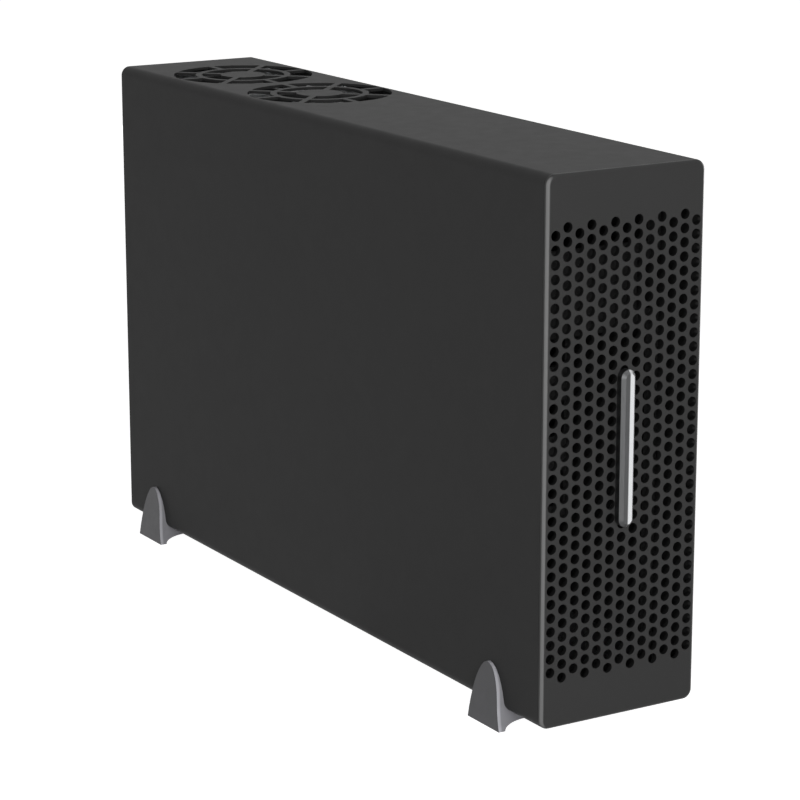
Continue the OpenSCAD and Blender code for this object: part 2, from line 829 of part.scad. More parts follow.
guide_y = bay_y - long_card - board_t;
guide_t = 8;
guide_wall = 3;
groove_w = 2.2;

// Comb at the cage's front that holds the front edges of long cards
module card_guide() {
    top = ledge_z;
    color("#2c2c2e") difference() {
        union() {
            block([-tray_in + slot_gap, guide_y - guide_t, board_top + conn_h],
                  [tray_in - slot_gap, guide_y - guide_t + guide_wall, top]);
            for (i = [1 : slots])
                block([card_x(i) - guide_wall, guide_y - guide_t, board_top + conn_h],
                      [card_x(i) + guide_wall, guide_y, top]);
            for (s = [-1, 1]) {
                x0 = s * (tray_in - slot_gap);
                x1 = s * (tray_in - slot_gap - guide_wall);
                block([min(x0, x1), guide_y - guide_t, tray_top + guide_wall * 0.6],
                      [max(x0, x1), guide_y, top]);
            }
            block([-tray_in + cage_r, guide_y - guide_t, tray_top],
                  [tray_in - cage_r, guide_y, tray_top + guide_wall]);
            block([-tray_in + guide_wall, guide_y - guide_t, tray_top + guide_wall * 0.6],
                  [tray_in - guide_wall, guide_y, tray_top + guide_wall]);
        }
        for (i = [1 : slots]) {
            block([card_x(i) - groove_w / 2, guide_y - guide_t + guide_wall, board_top],
                  [card_x(i) + groove_w / 2, guide_y + cut, top + cut]);
            for (k = [0 : 2])
                block([slot_x(i) - slot_pitch / 2 + card_off - board_t, guide_y - guide_t - cut,
                       card_z + (k + 0.4) * (top - card_z) / 3],
                      [slot_x(i) + slot_pitch / 4, guide_y - guide_t + guide_wall + cut,
                       card_z + (k + 0.9) * (top - card_z) / 3]);
        }
    }
}

// Backplane on its shelf

standoff_shares = [0.14, 0.5, 0.95];

module at_standoffs() {
    for (x = [(card_x(1) + card_x(2)) / 2, board_half - 4 * board_t], share = standoff_shares)
        translate([x, board_y0 + share * board_l, shelf_top]) children();
}

standoff_r = 2.6;
board_screw_r = 1.5;
board_half = tray_in - psu_gap;

module backplane_shelf() {
    color("#a3a5a8") difference() {
        union() {
            block([-tray_in, shelf_y0, shelf_z], [tray_in, bay_y - toe_depth, shelf_top]);
            for (s = [-1, 1]) {
                x0 = s * tray_in;
                x1 = s * (tray_in - pan_t);
                block([min(x0, x1), shelf_y0, shelf_z], [max(x0, x1), bay_y - toe_depth, tall_wall_z]);
            }
            block([-tray_in, shelf_y0, shelf_z - fold_h / 2], [tray_in, shelf_y0 + pan_t, shelf_z]);
        }
        at_shelf_rivets() translate([0, 0, -cut])
            cylinder(r = rivet_r + hole_gap / 2, h = 2 * pan_t + 2 * cut);
        at_standoffs() translate([0, 0, -pan_t - cut])
            cylinder(r = board_screw_r + hole_gap, h = pan_t + 2 * cut);
    }
}

module backplane_board() {
    color("#1f4a34") difference() {
        block([-board_half, board_y0, board_z], [board_half, board_y1, board_top]);
        at_standoffs() translate([0, 0, standoff_h - cut])
            cylinder(r = board_screw_r + hole_gap, h = board_t + 2 * cut);
    }
}

module board_standoffs() {
    color("#c2a35a") at_standoffs() difference() {
        union() {
            cylinder(r = standoff_r, h = standoff_h, $fn = 6);
            translate([0, 0, -pan_t - board_t]) cylinder(r = board_screw_r, h = pan_t + 2 * board_t);
        }
        translate([0, 0, standoff_h / 2]) cylinder(r = board_screw_r + hole_gap / 2, h = standoff_h);
    }
}

module board_screws() {
    color("#b9babd") at_standoffs() translate([0, 0, standoff_h + board_t])
        screw(2 * board_screw_r, board_screw_r * 1.3, board_screw_r, board_t + standoff_h * 0.4);
}

slot_cut_w = 1.9;
key_off = 14;

// Edge connector with its slot, its key and a retention hook at the front end
module pcie_connector(i) {
    end_t = 2;
    floor_t = card_z - board_top;
    color("#1d1d1f") translate([card_x(i), 0, board_top]) {
        difference() {
            union() {
                block([-conn_w / 2, conn_y0, 0], [conn_w / 2, conn_y1, conn_h]);
                block([-conn_w / 4, conn_y0 - 2 * end_t, 0], [conn_w / 4, conn_y0, conn_h + end_t]);
            }
            block([-slot_cut_w / 2, conn_y0 + end_t, floor_t - hole_gap],
                  [slot_cut_w / 2, conn_y1 - key_off - end_t / 2, conn_h + cut]);
            block([-slot_cut_w / 2, conn_y1 - key_off + end_t / 2, floor_t - hole_gap],
                  [slot_cut_w / 2, conn_y1 - end_t, conn_h + cut]);
            block([-slot_cut_w / 2, conn_y0 - 2 * end_t - cut, conn_h],
                  [slot_cut_w / 2, conn_y0 + end_t, conn_h + end_t + cut]);
            for (s = [-1, 1]) {
                x0 = s * conn_w / 2;
                x1 = s * (conn_w / 2 - end_t / 2);
                block([min(x0, x1) - (s < 0 ? cut : 0), conn_y0 + 2 * end_t, conn_h * 0.75],
                      [max(x0, x1) + (s > 0 ? cut : 0), conn_y1 - 2 * end_t, conn_h + cut]);
            }
        }
    }
}

module pcie_connector_1() { pcie_connector(1); }
module pcie_connector_2() { pcie_connector(2); }
module pcie_connector_3() { pcie_connector(3); }
module pcie_connector_4() { pcie_connector(4); }

// Controller card in the last slot

card_y1 = bay_y - 2 * bracket_t;
card_y0 = card_y1 - card_l;
edge_z = board_top + conn_h + board_t;
chip_t = 1.4;
sink_side = 42;
sink_base = 2;
sink_h = 9;
sink_y = (card_y0 + card_y1) / 2;
sink_z = (edge_z + card_z1) / 2;
card_face = card_x(slots) + board_t / 2;

module controller_card() {
    finger_gap = 2.4;
    color("#1f4a34") {
        difference() {
            along_x(card_face - board_t, card_face) polygon([
                [card_y0, edge_z], [conn_y0 + finger_gap, edge_z], [conn_y0 + finger_gap, card_z],
                [conn_y1 - finger_gap, card_z], [conn_y1 - finger_gap, edge_z], [card_y1, edge_z],
                [card_y1, card_z1], [card_y0, card_z1]
            ]);
            block([card_face - 2 * board_t, conn_y1 - key_off - finger_gap / 2, card_z - cut],
                  [card_face + board_t, conn_y1 - key_off + finger_gap / 2, edge_z]);
            at_ear_screws() translate([0, 0, -board_t - cut])
                cylinder(r = ear_screw_r + hole_gap, h = 2 * board_t + 2 * cut);
        }
        block([card_face, sink_y - sink_side / 4, sink_z - sink_side / 4],
              [card_face + chip_t, sink_y + sink_side / 4, sink_z + sink_side / 4]);
        for (k = [0 : 4])
            block([card_face, card_y0 + (k + 0.6) * card_l * 0.06, edge_z + 3 * board_t],
                  [card_face + 2 * chip_t, card_y0 + (k + 1.2) * card_l * 0.06, edge_z + 7 * board_t]);
        for (k = [0 : 2]) translate([card_face, card_y0 + (k + 1) * card_l * 0.08, card_z1 - 8 * board_t])
            rotate([0, 90, 0]) cylinder(r = 2 * board_t, h = 5 * board_t);
    }
}

module controller_heatsink() {
    fins = 9;
    x0 = card_face + chip_t;
    step = sink_side / fins;
    color("#8f9194") {
        block([x0, sink_y - sink_side / 2, sink_z - sink_side / 2],
              [x0 + sink_base, sink_y + sink_side / 2, sink_z + sink_side / 2]);
        for (k = [0 : fins - 1])
            block([x0, sink_y - sink_side / 2, sink_z - sink_side / 2 + (k + 0.3) * step],
                  [x0 + sink_h, sink_y + sink_side / 2, sink_z - sink_side / 2 + (k + 0.7) * step]);
    }
}

// Plain slot bracket: plate, narrowed toe and the bent tab with its screw notch
module slot_bracket(i) {
    x = slot_x(i);
    tab_l = bay_depth * 0.92;
    translate([x, 0, 0]) difference() {
        union() {
            along_y(bay_y - bracket_t, bay_y) polygon([
                [-bracket_w / 2, ledge_z + bracket_t], [-bracket_w / 2, bay_z + 4 * toe_t],
                [-tongue_w / 2, bay_z + 3 * toe_t], [-tongue_w / 2, tip_z + bay_t + hole_gap],
                [tongue_w / 2, tip_z + bay_t + hole_gap], [tongue_w / 2, bay_z + 3 * toe_t],
                [bracket_w / 2, bay_z + 4 * toe_t], [bracket_w / 2, ledge_z + bracket_t]
            ]);
            block([-bracket_w / 2, bay_y - bracket_t, ledge_z],
                  [bracket_w / 2, bay_y + tab_l, ledge_z + bracket_t]);
        }
        translate([0, bay_y + bay_t + bay_depth * 0.45, ledge_z - cut])
            cylinder(r = slot_screw_r + 2 * hole_gap, h = bracket_t + 2 * cut);
        translate([0, bay_y + bay_t + bay_depth * 0.45, ledge_z])
            block([0, -slot_screw_r - 2 * hole_gap, -cut],
                  [bracket_w, slot_screw_r + 2 * hole_gap, bracket_t + cut]);
    }
}

module slot_cover_1() { color("#b4b6b9") slot_bracket(1); }
module slot_cover_2() { color("#b4b6b9") slot_bracket(2); }
module slot_cover_3() { color("#b4b6b9") slot_bracket(3); }

module slot_screws() {
    color("#b9babd") at_slot_screws()
        screw(1.9 * slot_screw_r, slot_screw_r * 1.2, slot_screw_r, bracket_t + bay_t + slot_screw_r);
}

module card_screws() {
    color("#b9babd") at_ear_screws()
        screw(2 * ear_screw_r, ear_screw_r * 1.2, ear_screw_r, bracket_t + board_t + ear_screw_r);
}

port_w = 9;
port_h = 3.4;
port_l = 8;
port_wall = 0.35;
port_gap = 0.2;
port_dz = 11;
ear_l = 8;
ear_screw_r = 1.2;

module at_port(s) {
    translate([card_face + port_h / 2, bay_y - bracket_t / 2, sink_z + s * port_dz]) children();
}

module port_outline(grow) {
    r = port_h / 2 + grow - port_wall / 4;
    rounded(port_h + 2 * grow, port_w + 2 * grow, r);
}

module at_ear_screws() {
    for (s = [-1, 1]) translate([card_face - board_t - bracket_t, card_y1 - ear_l / 2,
        (edge_z + card_z1) / 2 + s * (card_z1 - edge_z) * 0.4]) rotate([0, -90, 0]) children();
}

module controller_bracket() {
    color("#b4b6b9") {
        difference() {
            slot_bracket(slots);
            for (s = [-1, 1]) at_port(s) along_y(-bracket_t, bracket_t) port_outline(port_gap);
        }
        difference() {
            for (s = [-1, 1]) {
                zc = (edge_z + card_z1) / 2 + s * (card_z1 - edge_z) * 0.4;
                block([card_face - board_t - bracket_t, card_y1 - ear_l, zc - ear_l / 2],
                      [card_face - board_t, bay_y - bracket_t, zc + ear_l / 2]);
            }
            at_ear_screws() translate([0, 0, -board_t - cut])
                cylinder(r = ear_screw_r + hole_gap, h = 2 * board_t + 2 * cut);
        }
    }
}

// Receptacle with its shell, rear block and contact tongue
module port(s) {
    color("#c9cacc") at_port(s) {
        along_y(-port_l, bracket_t / 2) difference() {
            port_outline(0);
            port_outline(-port_wall);
        }
        along_y(-port_l, -port_l * 0.7) port_outline(0);
        block([-port_wall, -port_l, -port_w * 0.36], [port_wall, -bracket_t / 2, port_w * 0.36]);
    }
}

module port_a() { port(1); }
module port_b() { port(-1); }

// Fans: each is drawn with its intake at zero and its struts at the exhaust end

bearing_gap = 0.05;
hub_wall = 2.4;
blade_t = 1.5;
blade_tilt = 36;

function fan_seat_t(depth) = depth * 0.12;
function fan_shaft_r(hub_r) = hub_r * 0.09;

module fan_body(size, depth, bore_r, hub_r, span, hole_r) {
    flange_t = depth * 0.16;
    ring_r = (bore_r + size / 2) / 2 + (size / 2 - bore_r) * 0.3;
    arm_w = depth * 0.13;
    seat_t = fan_seat_t(depth);
    shaft_r = fan_shaft_r(hub_r);
    difference() {
        linear_extrude(height = depth) rounded(size, size, (size - span) / 2);
        translate([0, 0, -cut]) cylinder(r = bore_r, h = depth + 2 * cut);
        translate([0, 0, flange_t]) linear_extrude(height = depth - 2 * flange_t) difference() {
            square(size + 2 * cut, center = true);
            circle(r = ring_r);
        }
        for (sx = [-1, 1], sy = [-1, 1]) translate([sx * span / 2, sy * span / 2, -cut])
            cylinder(r = hole_r, h = depth + 2 * cut);
    }
    difference() {
        union() {
            translate([0, 0, depth - seat_t]) linear_extrude(height = seat_t) {
                circle(r = hub_r - hub_wall / 2);
                for (a = [0 : 90 : 270]) rotate(a + 20)
                    translate([0, -arm_w / 2]) square([(bore_r + ring_r) / 2, arm_w]);
            }
            translate([0, 0, depth * 0.45]) cylinder(r = hub_r - 2 * hub_wall, h = depth * 0.3);
            translate([0, 0, depth * 0.3]) cylinder(r = 3 * shaft_r, h = depth * 0.6);
        }
        translate([0, 0, -cut]) cylinder(r = shaft_r + bearing_gap, h = depth - seat_t / 2 + cut);
    }
}

// Cup hub with its shaft and swept blades
module fan_wheel(depth, bore_r, hub_r, blades, tip_gap) {
    cup_z0 = depth * 0.05;
    cup_z1 = depth - 1.3 * fan_seat_t(depth);
    blade_z0 = depth * 0.1;
    blade_z1 = depth * 0.8;
    tip_r = bore_r - tip_gap;
    shaft_r = fan_shaft_r(hub_r);
    difference() {
        translate([0, 0, cup_z0]) cylinder(r = hub_r, h = cup_z1 - cup_z0);
        translate([0, 0, cup_z0 + hub_wall / 2]) cylinder(r = hub_r - hub_wall / 2, h = depth);
    }
    translate([0, 0, cup_z0]) cylinder(r = shaft_r, h = depth - fan_seat_t(depth) - cup_z0);
    for (k = [0 : blades - 1]) rotate(k * 360 / blades) intersection() {
        translate([0, 0, blade_z0]) linear_extrude(height = blade_z1 - blade_z0) intersection() {
            polygon([
                [0, -hub_r * 0.42], [tip_r * 0.6, -tip_r * 0.4], [tip_r * 1.1, -tip_r * 0.22],
                [tip_r * 1.1, tip_r * 0.36], [tip_r * 0.6, tip_r * 0.2], [0, hub_r * 0.42]
            ]);
            difference() {
                circle(r = tip_r);
                circle(r = hub_r - hub_wall / 4);
            }
        }
        translate([0, 0, (blade_z0 + blade_z1) / 2]) rotate([blade_tilt, 0, 0])
            translate([0, -bore_r, -blade_t / 2]) cube([2 * bore_r, 2 * bore_r, blade_t]);
    }
}

module fan_frame_front() {
    color("#1b1b1d") translate([0, fan_front_y, fan_z])
        fan_body(fan_size, fan_t, fan_bore_r, fan_hub_r, fan_hole_span, fan_hole_r);
}

module fan_frame_rear() {
    color("#1b1b1d") translate([0, fan_rear_y, fan_z])
        fan_body(fan_size, fan_t, fan_bore_r, fan_hub_r, fan_hole_span, fan_hole_r);
}

fan_tip_gap = 0.9;

module fan_rotor_front() {
    color("#26262a") translate([0, fan_front_y, fan_z])
        fan_wheel(fan_t, fan_bore_r, fan_hub_r, fan_blades, fan_tip_gap);
}

module fan_rotor_rear() {
    color("#26262a") translate([0, fan_rear_y, fan_z])
        fan_wheel(fan_t, fan_bore_r, fan_hub_r, fan_blades, fan_tip_gap);
}

module fan_screws() {
    color("#b9babd") at_fan_holes()
        screw(1.6 * fan_screw_r, fan_screw_r, fan_screw_r, pan_t + 3 * fan_screw_r);
}

// Leads inside the cage: each sweeps a round section along a smoothed route

function mid(a, b) = (a + b) / 2;
function bend(a, b, c, t) = a * (1 - t) * (1 - t) + 2 * b * t * (1 - t) + c * t * t;
function smooth(p, n) = concat(
    [p[0]],
    [for (i = [1 : len(p) - 2], k = [(i == 1 ? 0 : 1) : n])
        bend(mid(p[i - 1], p[i]), p[i], mid(p[i], p[i + 1]), k / n)],
    [p[len(p) - 1]]
);
function unit(v) = v / norm(v);

module tube(route, r, sides) {
    s = smooth(route, 5);
    n = len(s);
    points = [for (j = [0 : n - 1], k = [0 : sides - 1])
        let (
            t = unit(s[min(j + 1, n - 1)] - s[max(j - 1, 0)]),
            u = unit(cross([1, 1, 1], t)),
            v = cross(t, u),
            a = k * 360 / sides)
        s[j] + r * (cos(a) * u + sin(a) * v)];
    ends = [[for (k = [sides - 1 : -1 : 0]) k], [for (k = [0 : sides - 1]) (n - 1) * sides + k]];
    skin = [for (j = [0 : n - 2], k = [0 : sides - 1])
        let (a = j * sides + k, b = j * sides + (k + 1) % sides)
        each [[a, b, b + sides], [a, b + sides, a + sides]]];
    polyhedron(points = points, faces = concat(ends, skin));
}

fan_lead_r = 1.3;
fan_plug_w = 7.5;
fan_plug_d = 5.8;
fan_plug_h = 12;
fan_plug_in = 8;
fan_plug_y = board_y0 + fan_plug_in;
fan_plug_side = 7;
fan_plug_step = 10;
fan_plug_x = [board_half - fan_plug_side, board_half - fan_plug_side - fan_plug_step];
lead_front = 14;
lead_y = fan_front_y - fan_size / 2 - lead_front;
lead_in = 13;
lead_x = fan_size / 2 - lead_in;
lead_gap = 7;
lead_bend = 20;
lead_drop = 30;
lead_low = 50;
lead_stub = 24;
plug_top = board_top + fan_plug_h;

module fan_lead_front() {
    color("#111112") tube([
        [lead_x, fan_front_y - fan_size / 2, fan_z + 4 * fan_lead_r],
        [lead_x, lead_y, fan_z + 4 * fan_lead_r],
        [lead_x, lead_y, thumb_z],
        [lead_x, lead_y, plug_top + lead_low],
        [fan_plug_x[0], fan_plug_y, plug_top + lead_stub],
        [fan_plug_x[0], fan_plug_y, plug_top]
    ], fan_lead_r, 8);
}

module fan_lead_rear() {
    x = lead_x - lead_gap;
    gap_y = (fan_rear_y + fan_front_y) / 2;
    under = fan_z - 5 * fan_lead_r;
    color("#111112") tube([
        [x, fan_rear_y - fan_size / 2, fan_z + 4 * fan_lead_r],
        [x, gap_y, fan_z + 4 * fan_lead_r],
        [x, gap_y, under],
        [x, gap_y - lead_bend, under],
        [x, lead_y + lead_bend, under],
        [x, lead_y, under],
        [x, lead_y, under - lead_drop],
        [x, lead_y, plug_top + lead_low],
        [fan_plug_x[1], fan_plug_y, plug_top + lead_stub],
        [fan_plug_x[1], fan_plug_y, plug_top]
    ], fan_lead_r, 8);
}

module fan_plugs() {
    color("#d8d6cf") for (x = fan_plug_x) {
        block([x - fan_plug_w / 2, fan_plug_y - fan_plug_d / 2, board_top],
              [x + fan_plug_w / 2, fan_plug_y + fan_plug_d / 2, plug_top]);
        block([x - fan_plug_w / 2, fan_plug_y - fan_plug_d / 2 - pan_t, board_top],
              [x + fan_plug_w / 2, fan_plug_y + fan_plug_d / 2 + pan_t, board_top + fan_plug_h / 3]);
    }
}

// Power supply

psu_mid = (psu_z + psu_z1) / 2;
psu_wall_y = panel_y - psu_t;
psu_fan_size = psu_h - 2 * psu_t - 2 * slide_gap;
psu_fan_t = 20;
psu_fan_bore_r = psu_fan_size * 0.47;
psu_fan_hub_r = psu_fan_size * 0.24;
psu_fan_span = psu_fan_size * 0.8;
psu_fan_x = psu_half - psu_side - psu_fan_size / 2 + psu_t;
psu_grille_r = psu_fan_size * 0.45;
power_side = 19;
power_x = power_side - psu_half;
power_r = 4;
power_out = 24;
power_loop = 50;
power_belly = 6;
power_rise = 12;
power_drop = 8;
vent_slots_each_side = 5;
vent_slot_w = 3 * psu_t;

inlet_w = 30;
inlet_h = 22.6;
inlet_body_w = 27;
inlet_body_h = 19.8;
inlet_l = 18;
inlet_out = 2;
inlet_x = -(psu_half - psu_side - inlet_w / 2 - slot_gap);
socket_w = 24.4;
socket_h = 16.2;
socket_cut = 4.5;
socket_depth = 15.5;

module inlet_place() {
    translate([inlet_x, panel_y, psu_mid]) children();
}

module psu_case() {
    rings = 4;
    step = (psu_grille_r - psu_fan_hub_r * 0.4) / rings;
    color("#9fa1a4") difference() {
        union() {
            block([-psu_half + psu_t, psu_y, psu_z], [psu_half - psu_t, panel_y, psu_z + psu_t]);
            block([-psu_half + psu_t, psu_wall_y, psu_z], [psu_half - psu_t, panel_y, psu_z1 - psu_t]);
            block([-psu_half + psu_t, psu_y, psu_z], [psu_half - psu_t, psu_y + psu_t, psu_z1 - psu_t]);
        }
        translate([psu_fan_x, 0, psu_mid]) along_y(psu_wall_y - cut, panel_y + cut) difference() {
            for (k = [1 : rings]) difference() {
                circle(r = psu_grille_r - (k - 1) * step);
                circle(r = psu_grille_r - (k - 0.45) * step);
            }
            for (a = [45, 135]) rotate(a) square([psu_fan_size, 2 * psu_t], center = true);
        }
        inlet_place() along_y(-psu_t - cut, cut) square([inlet_body_w + 2 * hole_gap,
            inlet_body_h + 2 * hole_gap], center = true);
        translate([power_x, psu_y - cut, psu_mid]) rotate([-90, 0, 0])
            cylinder(r = power_r + hole_gap, h = psu_t + 2 * cut);
        for (k = [-vent_slots_each_side : vent_slots_each_side])
            translate([psu_half / 3 + 2 * k * vent_slot_w, 0, psu_mid])
                block([0, psu_y - cut, -psu_h / 4], [vent_slot_w, psu_y + psu_t + cut, psu_h / 4]);
        at_psu_screws() translate([0, 0, -panel_t - psu_t - cut])
            cylinder(r = psu_screw_r + hole_gap, h = panel_t + psu_t + 2 * cut);
    }
}

module psu_cover() {
    color("#9fa1a4") {
        block([-psu_half, psu_y, psu_z1 - psu_t], [psu_half, panel_y, psu_z1]);
        for (s = [-1, 1]) {
            x0 = s * psu_half;
            x1 = s * (psu_half - psu_t);
            block([min(x0, x1), psu_y, psu_z], [max(x0, x1), panel_y, psu_z1]);
        }
    }
}

module psu_board() {
    pillar = 4 * psu_t;
    z0 = psu_z + psu_t;
    y0 = psu_y + 10 * psu_t;
    y1 = psu_wall_y - psu_fan_t - 10 * psu_t;
    x1 = psu_half - 4 * psu_t;
    run = y1 - y0;
    color("#7a5a2c") {
        block([-x1, y0, z0 + pillar], [x1, y1, z0 + pillar + board_t]);
        for (sx = [-1, 1], y = [y0 + pillar, y1 - pillar])
            translate([sx * (x1 - pillar), y, z0]) cylinder(r = pillar / 2, h = pillar + board_t);
        block([-x1 * 0.35, y0 + run * 0.4, z0 + pillar], [x1 * 0.35, y0 + run * 0.65, z0 + psu_h * 0.8]);
        block([x1 * 0.6, y0 + run * 0.1, z0 + pillar], [x1 * 0.66, y0 + run * 0.9, z0 + psu_h * 0.75]);
        for (k = [0 : 2]) translate([-x1 * 0.6, y0 + run * (0.2 + 0.25 * k), z0 + pillar])
            cylinder(r = psu_h * 0.2, h = psu_h * 0.65);
    }
}

module at_psu_fan() {
    translate([psu_fan_x, psu_wall_y - psu_fan_t, psu_mid]) rotate([-90, 0, 0]) children();
}

psu_fan_hole_r = 1.6;

module psu_fan_frame() {
    color("#1b1b1d") at_psu_fan()
        fan_body(psu_fan_size, psu_fan_t, psu_fan_bore_r, psu_fan_hub_r, psu_fan_span, psu_fan_hole_r);
}

module psu_fan_rotor() {
    color("#26262a") at_psu_fan()
        fan_wheel(psu_fan_t, psu_fan_bore_r, psu_fan_hub_r, fan_blades, fan_tip_gap * 0.8);
}

module psu_screws() {
    color("#b9babd") at_psu_screws()
        screw(psu_screw_r * 1.8, psu_screw_r * 1.3, psu_screw_r, panel_t + psu_t + psu_screw_r);
}

// Mains inlet with its socket and three blades

module socket_outline() {
    w = socket_w / 2;
    h = socket_h / 2;
    polygon([[-w, -h], [w, -h], [w, h - socket_cut], [w - socket_cut, h], [-w + socket_cut, h],
        [-w, h - socket_cut]]);
}

module ac_inlet() {
    color("#161617") inlet_place() difference() {
        union() {
            along_y(0, inlet_out) rounded(inlet_w, inlet_h, inlet_out);
            along_y(-inlet_l, inlet_out / 2) square([inlet_body_w, inlet_body_h], center = true);
        }
        along_y(inlet_out - socket_depth, inlet_out + cut) socket_outline();
        at_blades() along_y(-inlet_l - cut, inlet_out) square([blade_w + 2 * hole_gap,
            blade_h + 2 * hole_gap], center = true);
    }
}

blade_w = 2;
blade_h = 4;
blade_l = 13;
blade_span = 7;
blade_rise = 2;

module at_blades() {
    for (k = [-1 : 1])
        translate([k * blade_span, 0, (k == 0 ? blade_rise : -blade_rise)]) children();
}

module ac_pins() {
    color("#c9cacc") inlet_place() at_blades() {
        along_y(-inlet_l - 2 * blade_w, inlet_out - socket_depth + blade_l)
            square([blade_w, blade_h], center = true);
    }
}

plug_l = 14;
plug_w = 22;
plug_h = 11;

module power_header() {
    color("#1d1d1f")
        block([power_x - plug_w / 2, board_y0, board_top],
              [power_x + plug_w / 2, board_y0 + plug_h, board_top + plug_h]);
}

module power_plug() {
    color("#1d1d1f") {
        block([power_x - plug_w / 2 + pan_t, board_y0 - plug_l, board_top + pan_t / 2],
              [power_x + plug_w / 2 - pan_t, board_y0, board_top + plug_h - pan_t / 2]);
        block([power_x - pan_t, board_y0 - plug_l / 2, board_top + plug_h - pan_t],
              [power_x + pan_t, board_y0, board_top + plug_h + pan_t / 2]);
    }
}

module power_lead() {
    z = board_top + plug_h / 2;
    color("#111112") tube([
        [power_x, psu_y, psu_mid],
        [power_x, psu_y - power_out, psu_mid],
        [power_x, board_y0 - power_loop, psu_mid],
        [power_x, board_y0 - power_loop - power_belly, psu_mid + power_rise],
        [power_x, board_y0 - power_loop - power_belly, z - power_drop],
        [power_x, board_y0 - power_loop, z],
        [power_x, board_y0 - plug_l, z]
    ], power_r, 10);
}

// Captive thumbscrews through the rear panel into the sleeve's tabs

knurls = 24;

module thumbscrew() {
    shank = panel_t + slide_gap + 4 * tab_t;
    groove = thumb_r * 0.09;
    difference() {
        union() {
            translate([0, 0, slot_gap]) cylinder(r = thumb_r * 0.7, h = thumb_out / 4);
            translate([0, 0, thumb_out / 4]) linear_extrude(height = thumb_out * 0.75) difference() {
                circle(r = thumb_r);
                for (k = [0 : knurls - 1]) rotate(k * 360 / knurls)
                    translate([thumb_r + groove / 3, 0]) circle(r = groove);
            }
            translate([0, 0, -shank]) cylinder(r = thumb_shank_r, h = shank + thumb_out / 4);
        }
        for (a = [0, 90]) rotate(a) translate([0, 0, thumb_out])
            cube([thumb_r * 1.2, thumb_r * 0.24, thumb_out * 0.3], center = true);
    }
}

module thumbscrew_left() {
    color("#6f7073") translate([-thumb_x, y_rear, thumb_z]) rotate([-90, 0, 0]) thumbscrew();
}

module thumbscrew_right() {
    color("#6f7073") translate([thumb_x, y_rear, thumb_z]) rotate([-90, 0, 0]) thumbscrew();
}

outer_sleeve();
front_bezel();
bezel_brackets();
bezel_screws();
trim_bar();
trim_bar_nuts();
foot_front_left();
foot_front_right();
foot_rear_left();
foot_rear_right();
foot_screws();
sleeve_tabs();
tray_pan();
rear_panel();
slot_bay();
front_frame();
top_frame();
frame_rivets();
card_guide();
backplane_shelf();
backplane_board();
board_standoffs();
board_screws();
pcie_connector_1();
pcie_connector_2();
pcie_connector_3();
pcie_connector_4();
controller_card();
controller_heatsink();
controller_bracket();
port_a();
port_b();
slot_cover_1();
slot_cover_2();
slot_cover_3();
slot_screws();
card_screws();
fan_frame_front();
fan_frame_rear();
fan_rotor_front();
fan_rotor_rear();
fan_screws();
fan_lead_front();
fan_lead_rear();
fan_plugs();
psu_case();
psu_cover();
psu_board();
psu_fan_frame();
psu_fan_rotor();
psu_screws();
ac_inlet();
ac_pins();
power_lead();
power_header();
power_plug();
thumbscrew_left();
thumbscrew_right();
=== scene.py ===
import itertools
import json
import math
import random

import bmesh
import bpy
from mathutils import Euler, Matrix, Vector


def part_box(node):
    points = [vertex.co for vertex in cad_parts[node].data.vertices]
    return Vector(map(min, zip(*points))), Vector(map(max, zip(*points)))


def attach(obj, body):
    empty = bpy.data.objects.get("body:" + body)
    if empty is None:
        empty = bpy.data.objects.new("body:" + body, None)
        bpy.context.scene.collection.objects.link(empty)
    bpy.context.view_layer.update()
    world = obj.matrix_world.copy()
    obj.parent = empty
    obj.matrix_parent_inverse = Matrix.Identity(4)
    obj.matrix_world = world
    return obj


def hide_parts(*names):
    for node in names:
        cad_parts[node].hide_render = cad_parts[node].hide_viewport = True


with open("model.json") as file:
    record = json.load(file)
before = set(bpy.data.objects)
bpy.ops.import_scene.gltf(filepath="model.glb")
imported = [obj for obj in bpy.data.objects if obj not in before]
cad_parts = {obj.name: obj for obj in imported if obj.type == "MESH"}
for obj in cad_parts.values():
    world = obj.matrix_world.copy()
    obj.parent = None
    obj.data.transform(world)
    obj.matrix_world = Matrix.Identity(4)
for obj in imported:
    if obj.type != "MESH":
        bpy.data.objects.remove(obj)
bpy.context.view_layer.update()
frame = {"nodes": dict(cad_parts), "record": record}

nodes = frame["nodes"]
scene = bpy.context.scene
scene.view_settings.view_transform = "Standard"
MM = 0.001
X, Y, Z = range(3)
WHITE = (1.0, 1.0, 1.0)
COOL = (0.985, 1.0, 1.02)
CHIP_BLACK = (0.012, 0.012, 0.013)


# Camera

CAM_AT = (-0.761347, -1.272002, 0.488735)
CAM_YAW = 31.288
CAM_PITCH = 14.111
CAM_FOCAL_PX = 2865.133
PHOTO_PX = 800.0
SENSOR_MM = 36.0
CLIP = (0.05, 50.0)


def make_camera():
    data = bpy.data.cameras.new("camera")
    data.sensor_width = SENSOR_MM
    data.lens = CAM_FOCAL_PX / PHOTO_PX * SENSOR_MM
    data.clip_start, data.clip_end = CLIP
    cam = bpy.data.objects.new("camera", data)
    scene.collection.objects.link(cam)
    cam.location = CAM_AT
    cam.rotation_euler = Euler((math.radians(90.0 - CAM_PITCH), 0.0, math.radians(-CAM_YAW)))
    scene.camera = cam


make_camera()


# Material helpers

def srgb(value):
    """One sRGB channel, 0 to 255, as linear light."""
    v = value / 255.0
    return v / 12.92 if v <= 0.04045 else ((v + 0.055) / 1.055) ** 2.4


def grey(value, tint=WHITE):
    """A grey given as sRGB, or a tinted one, as linear colour."""
    return tuple(srgb(value) * t for t in tint)


def scaled(colour, factor):
    """A colour made darker or lighter by a factor."""
    return tuple(c * factor for c in colour)


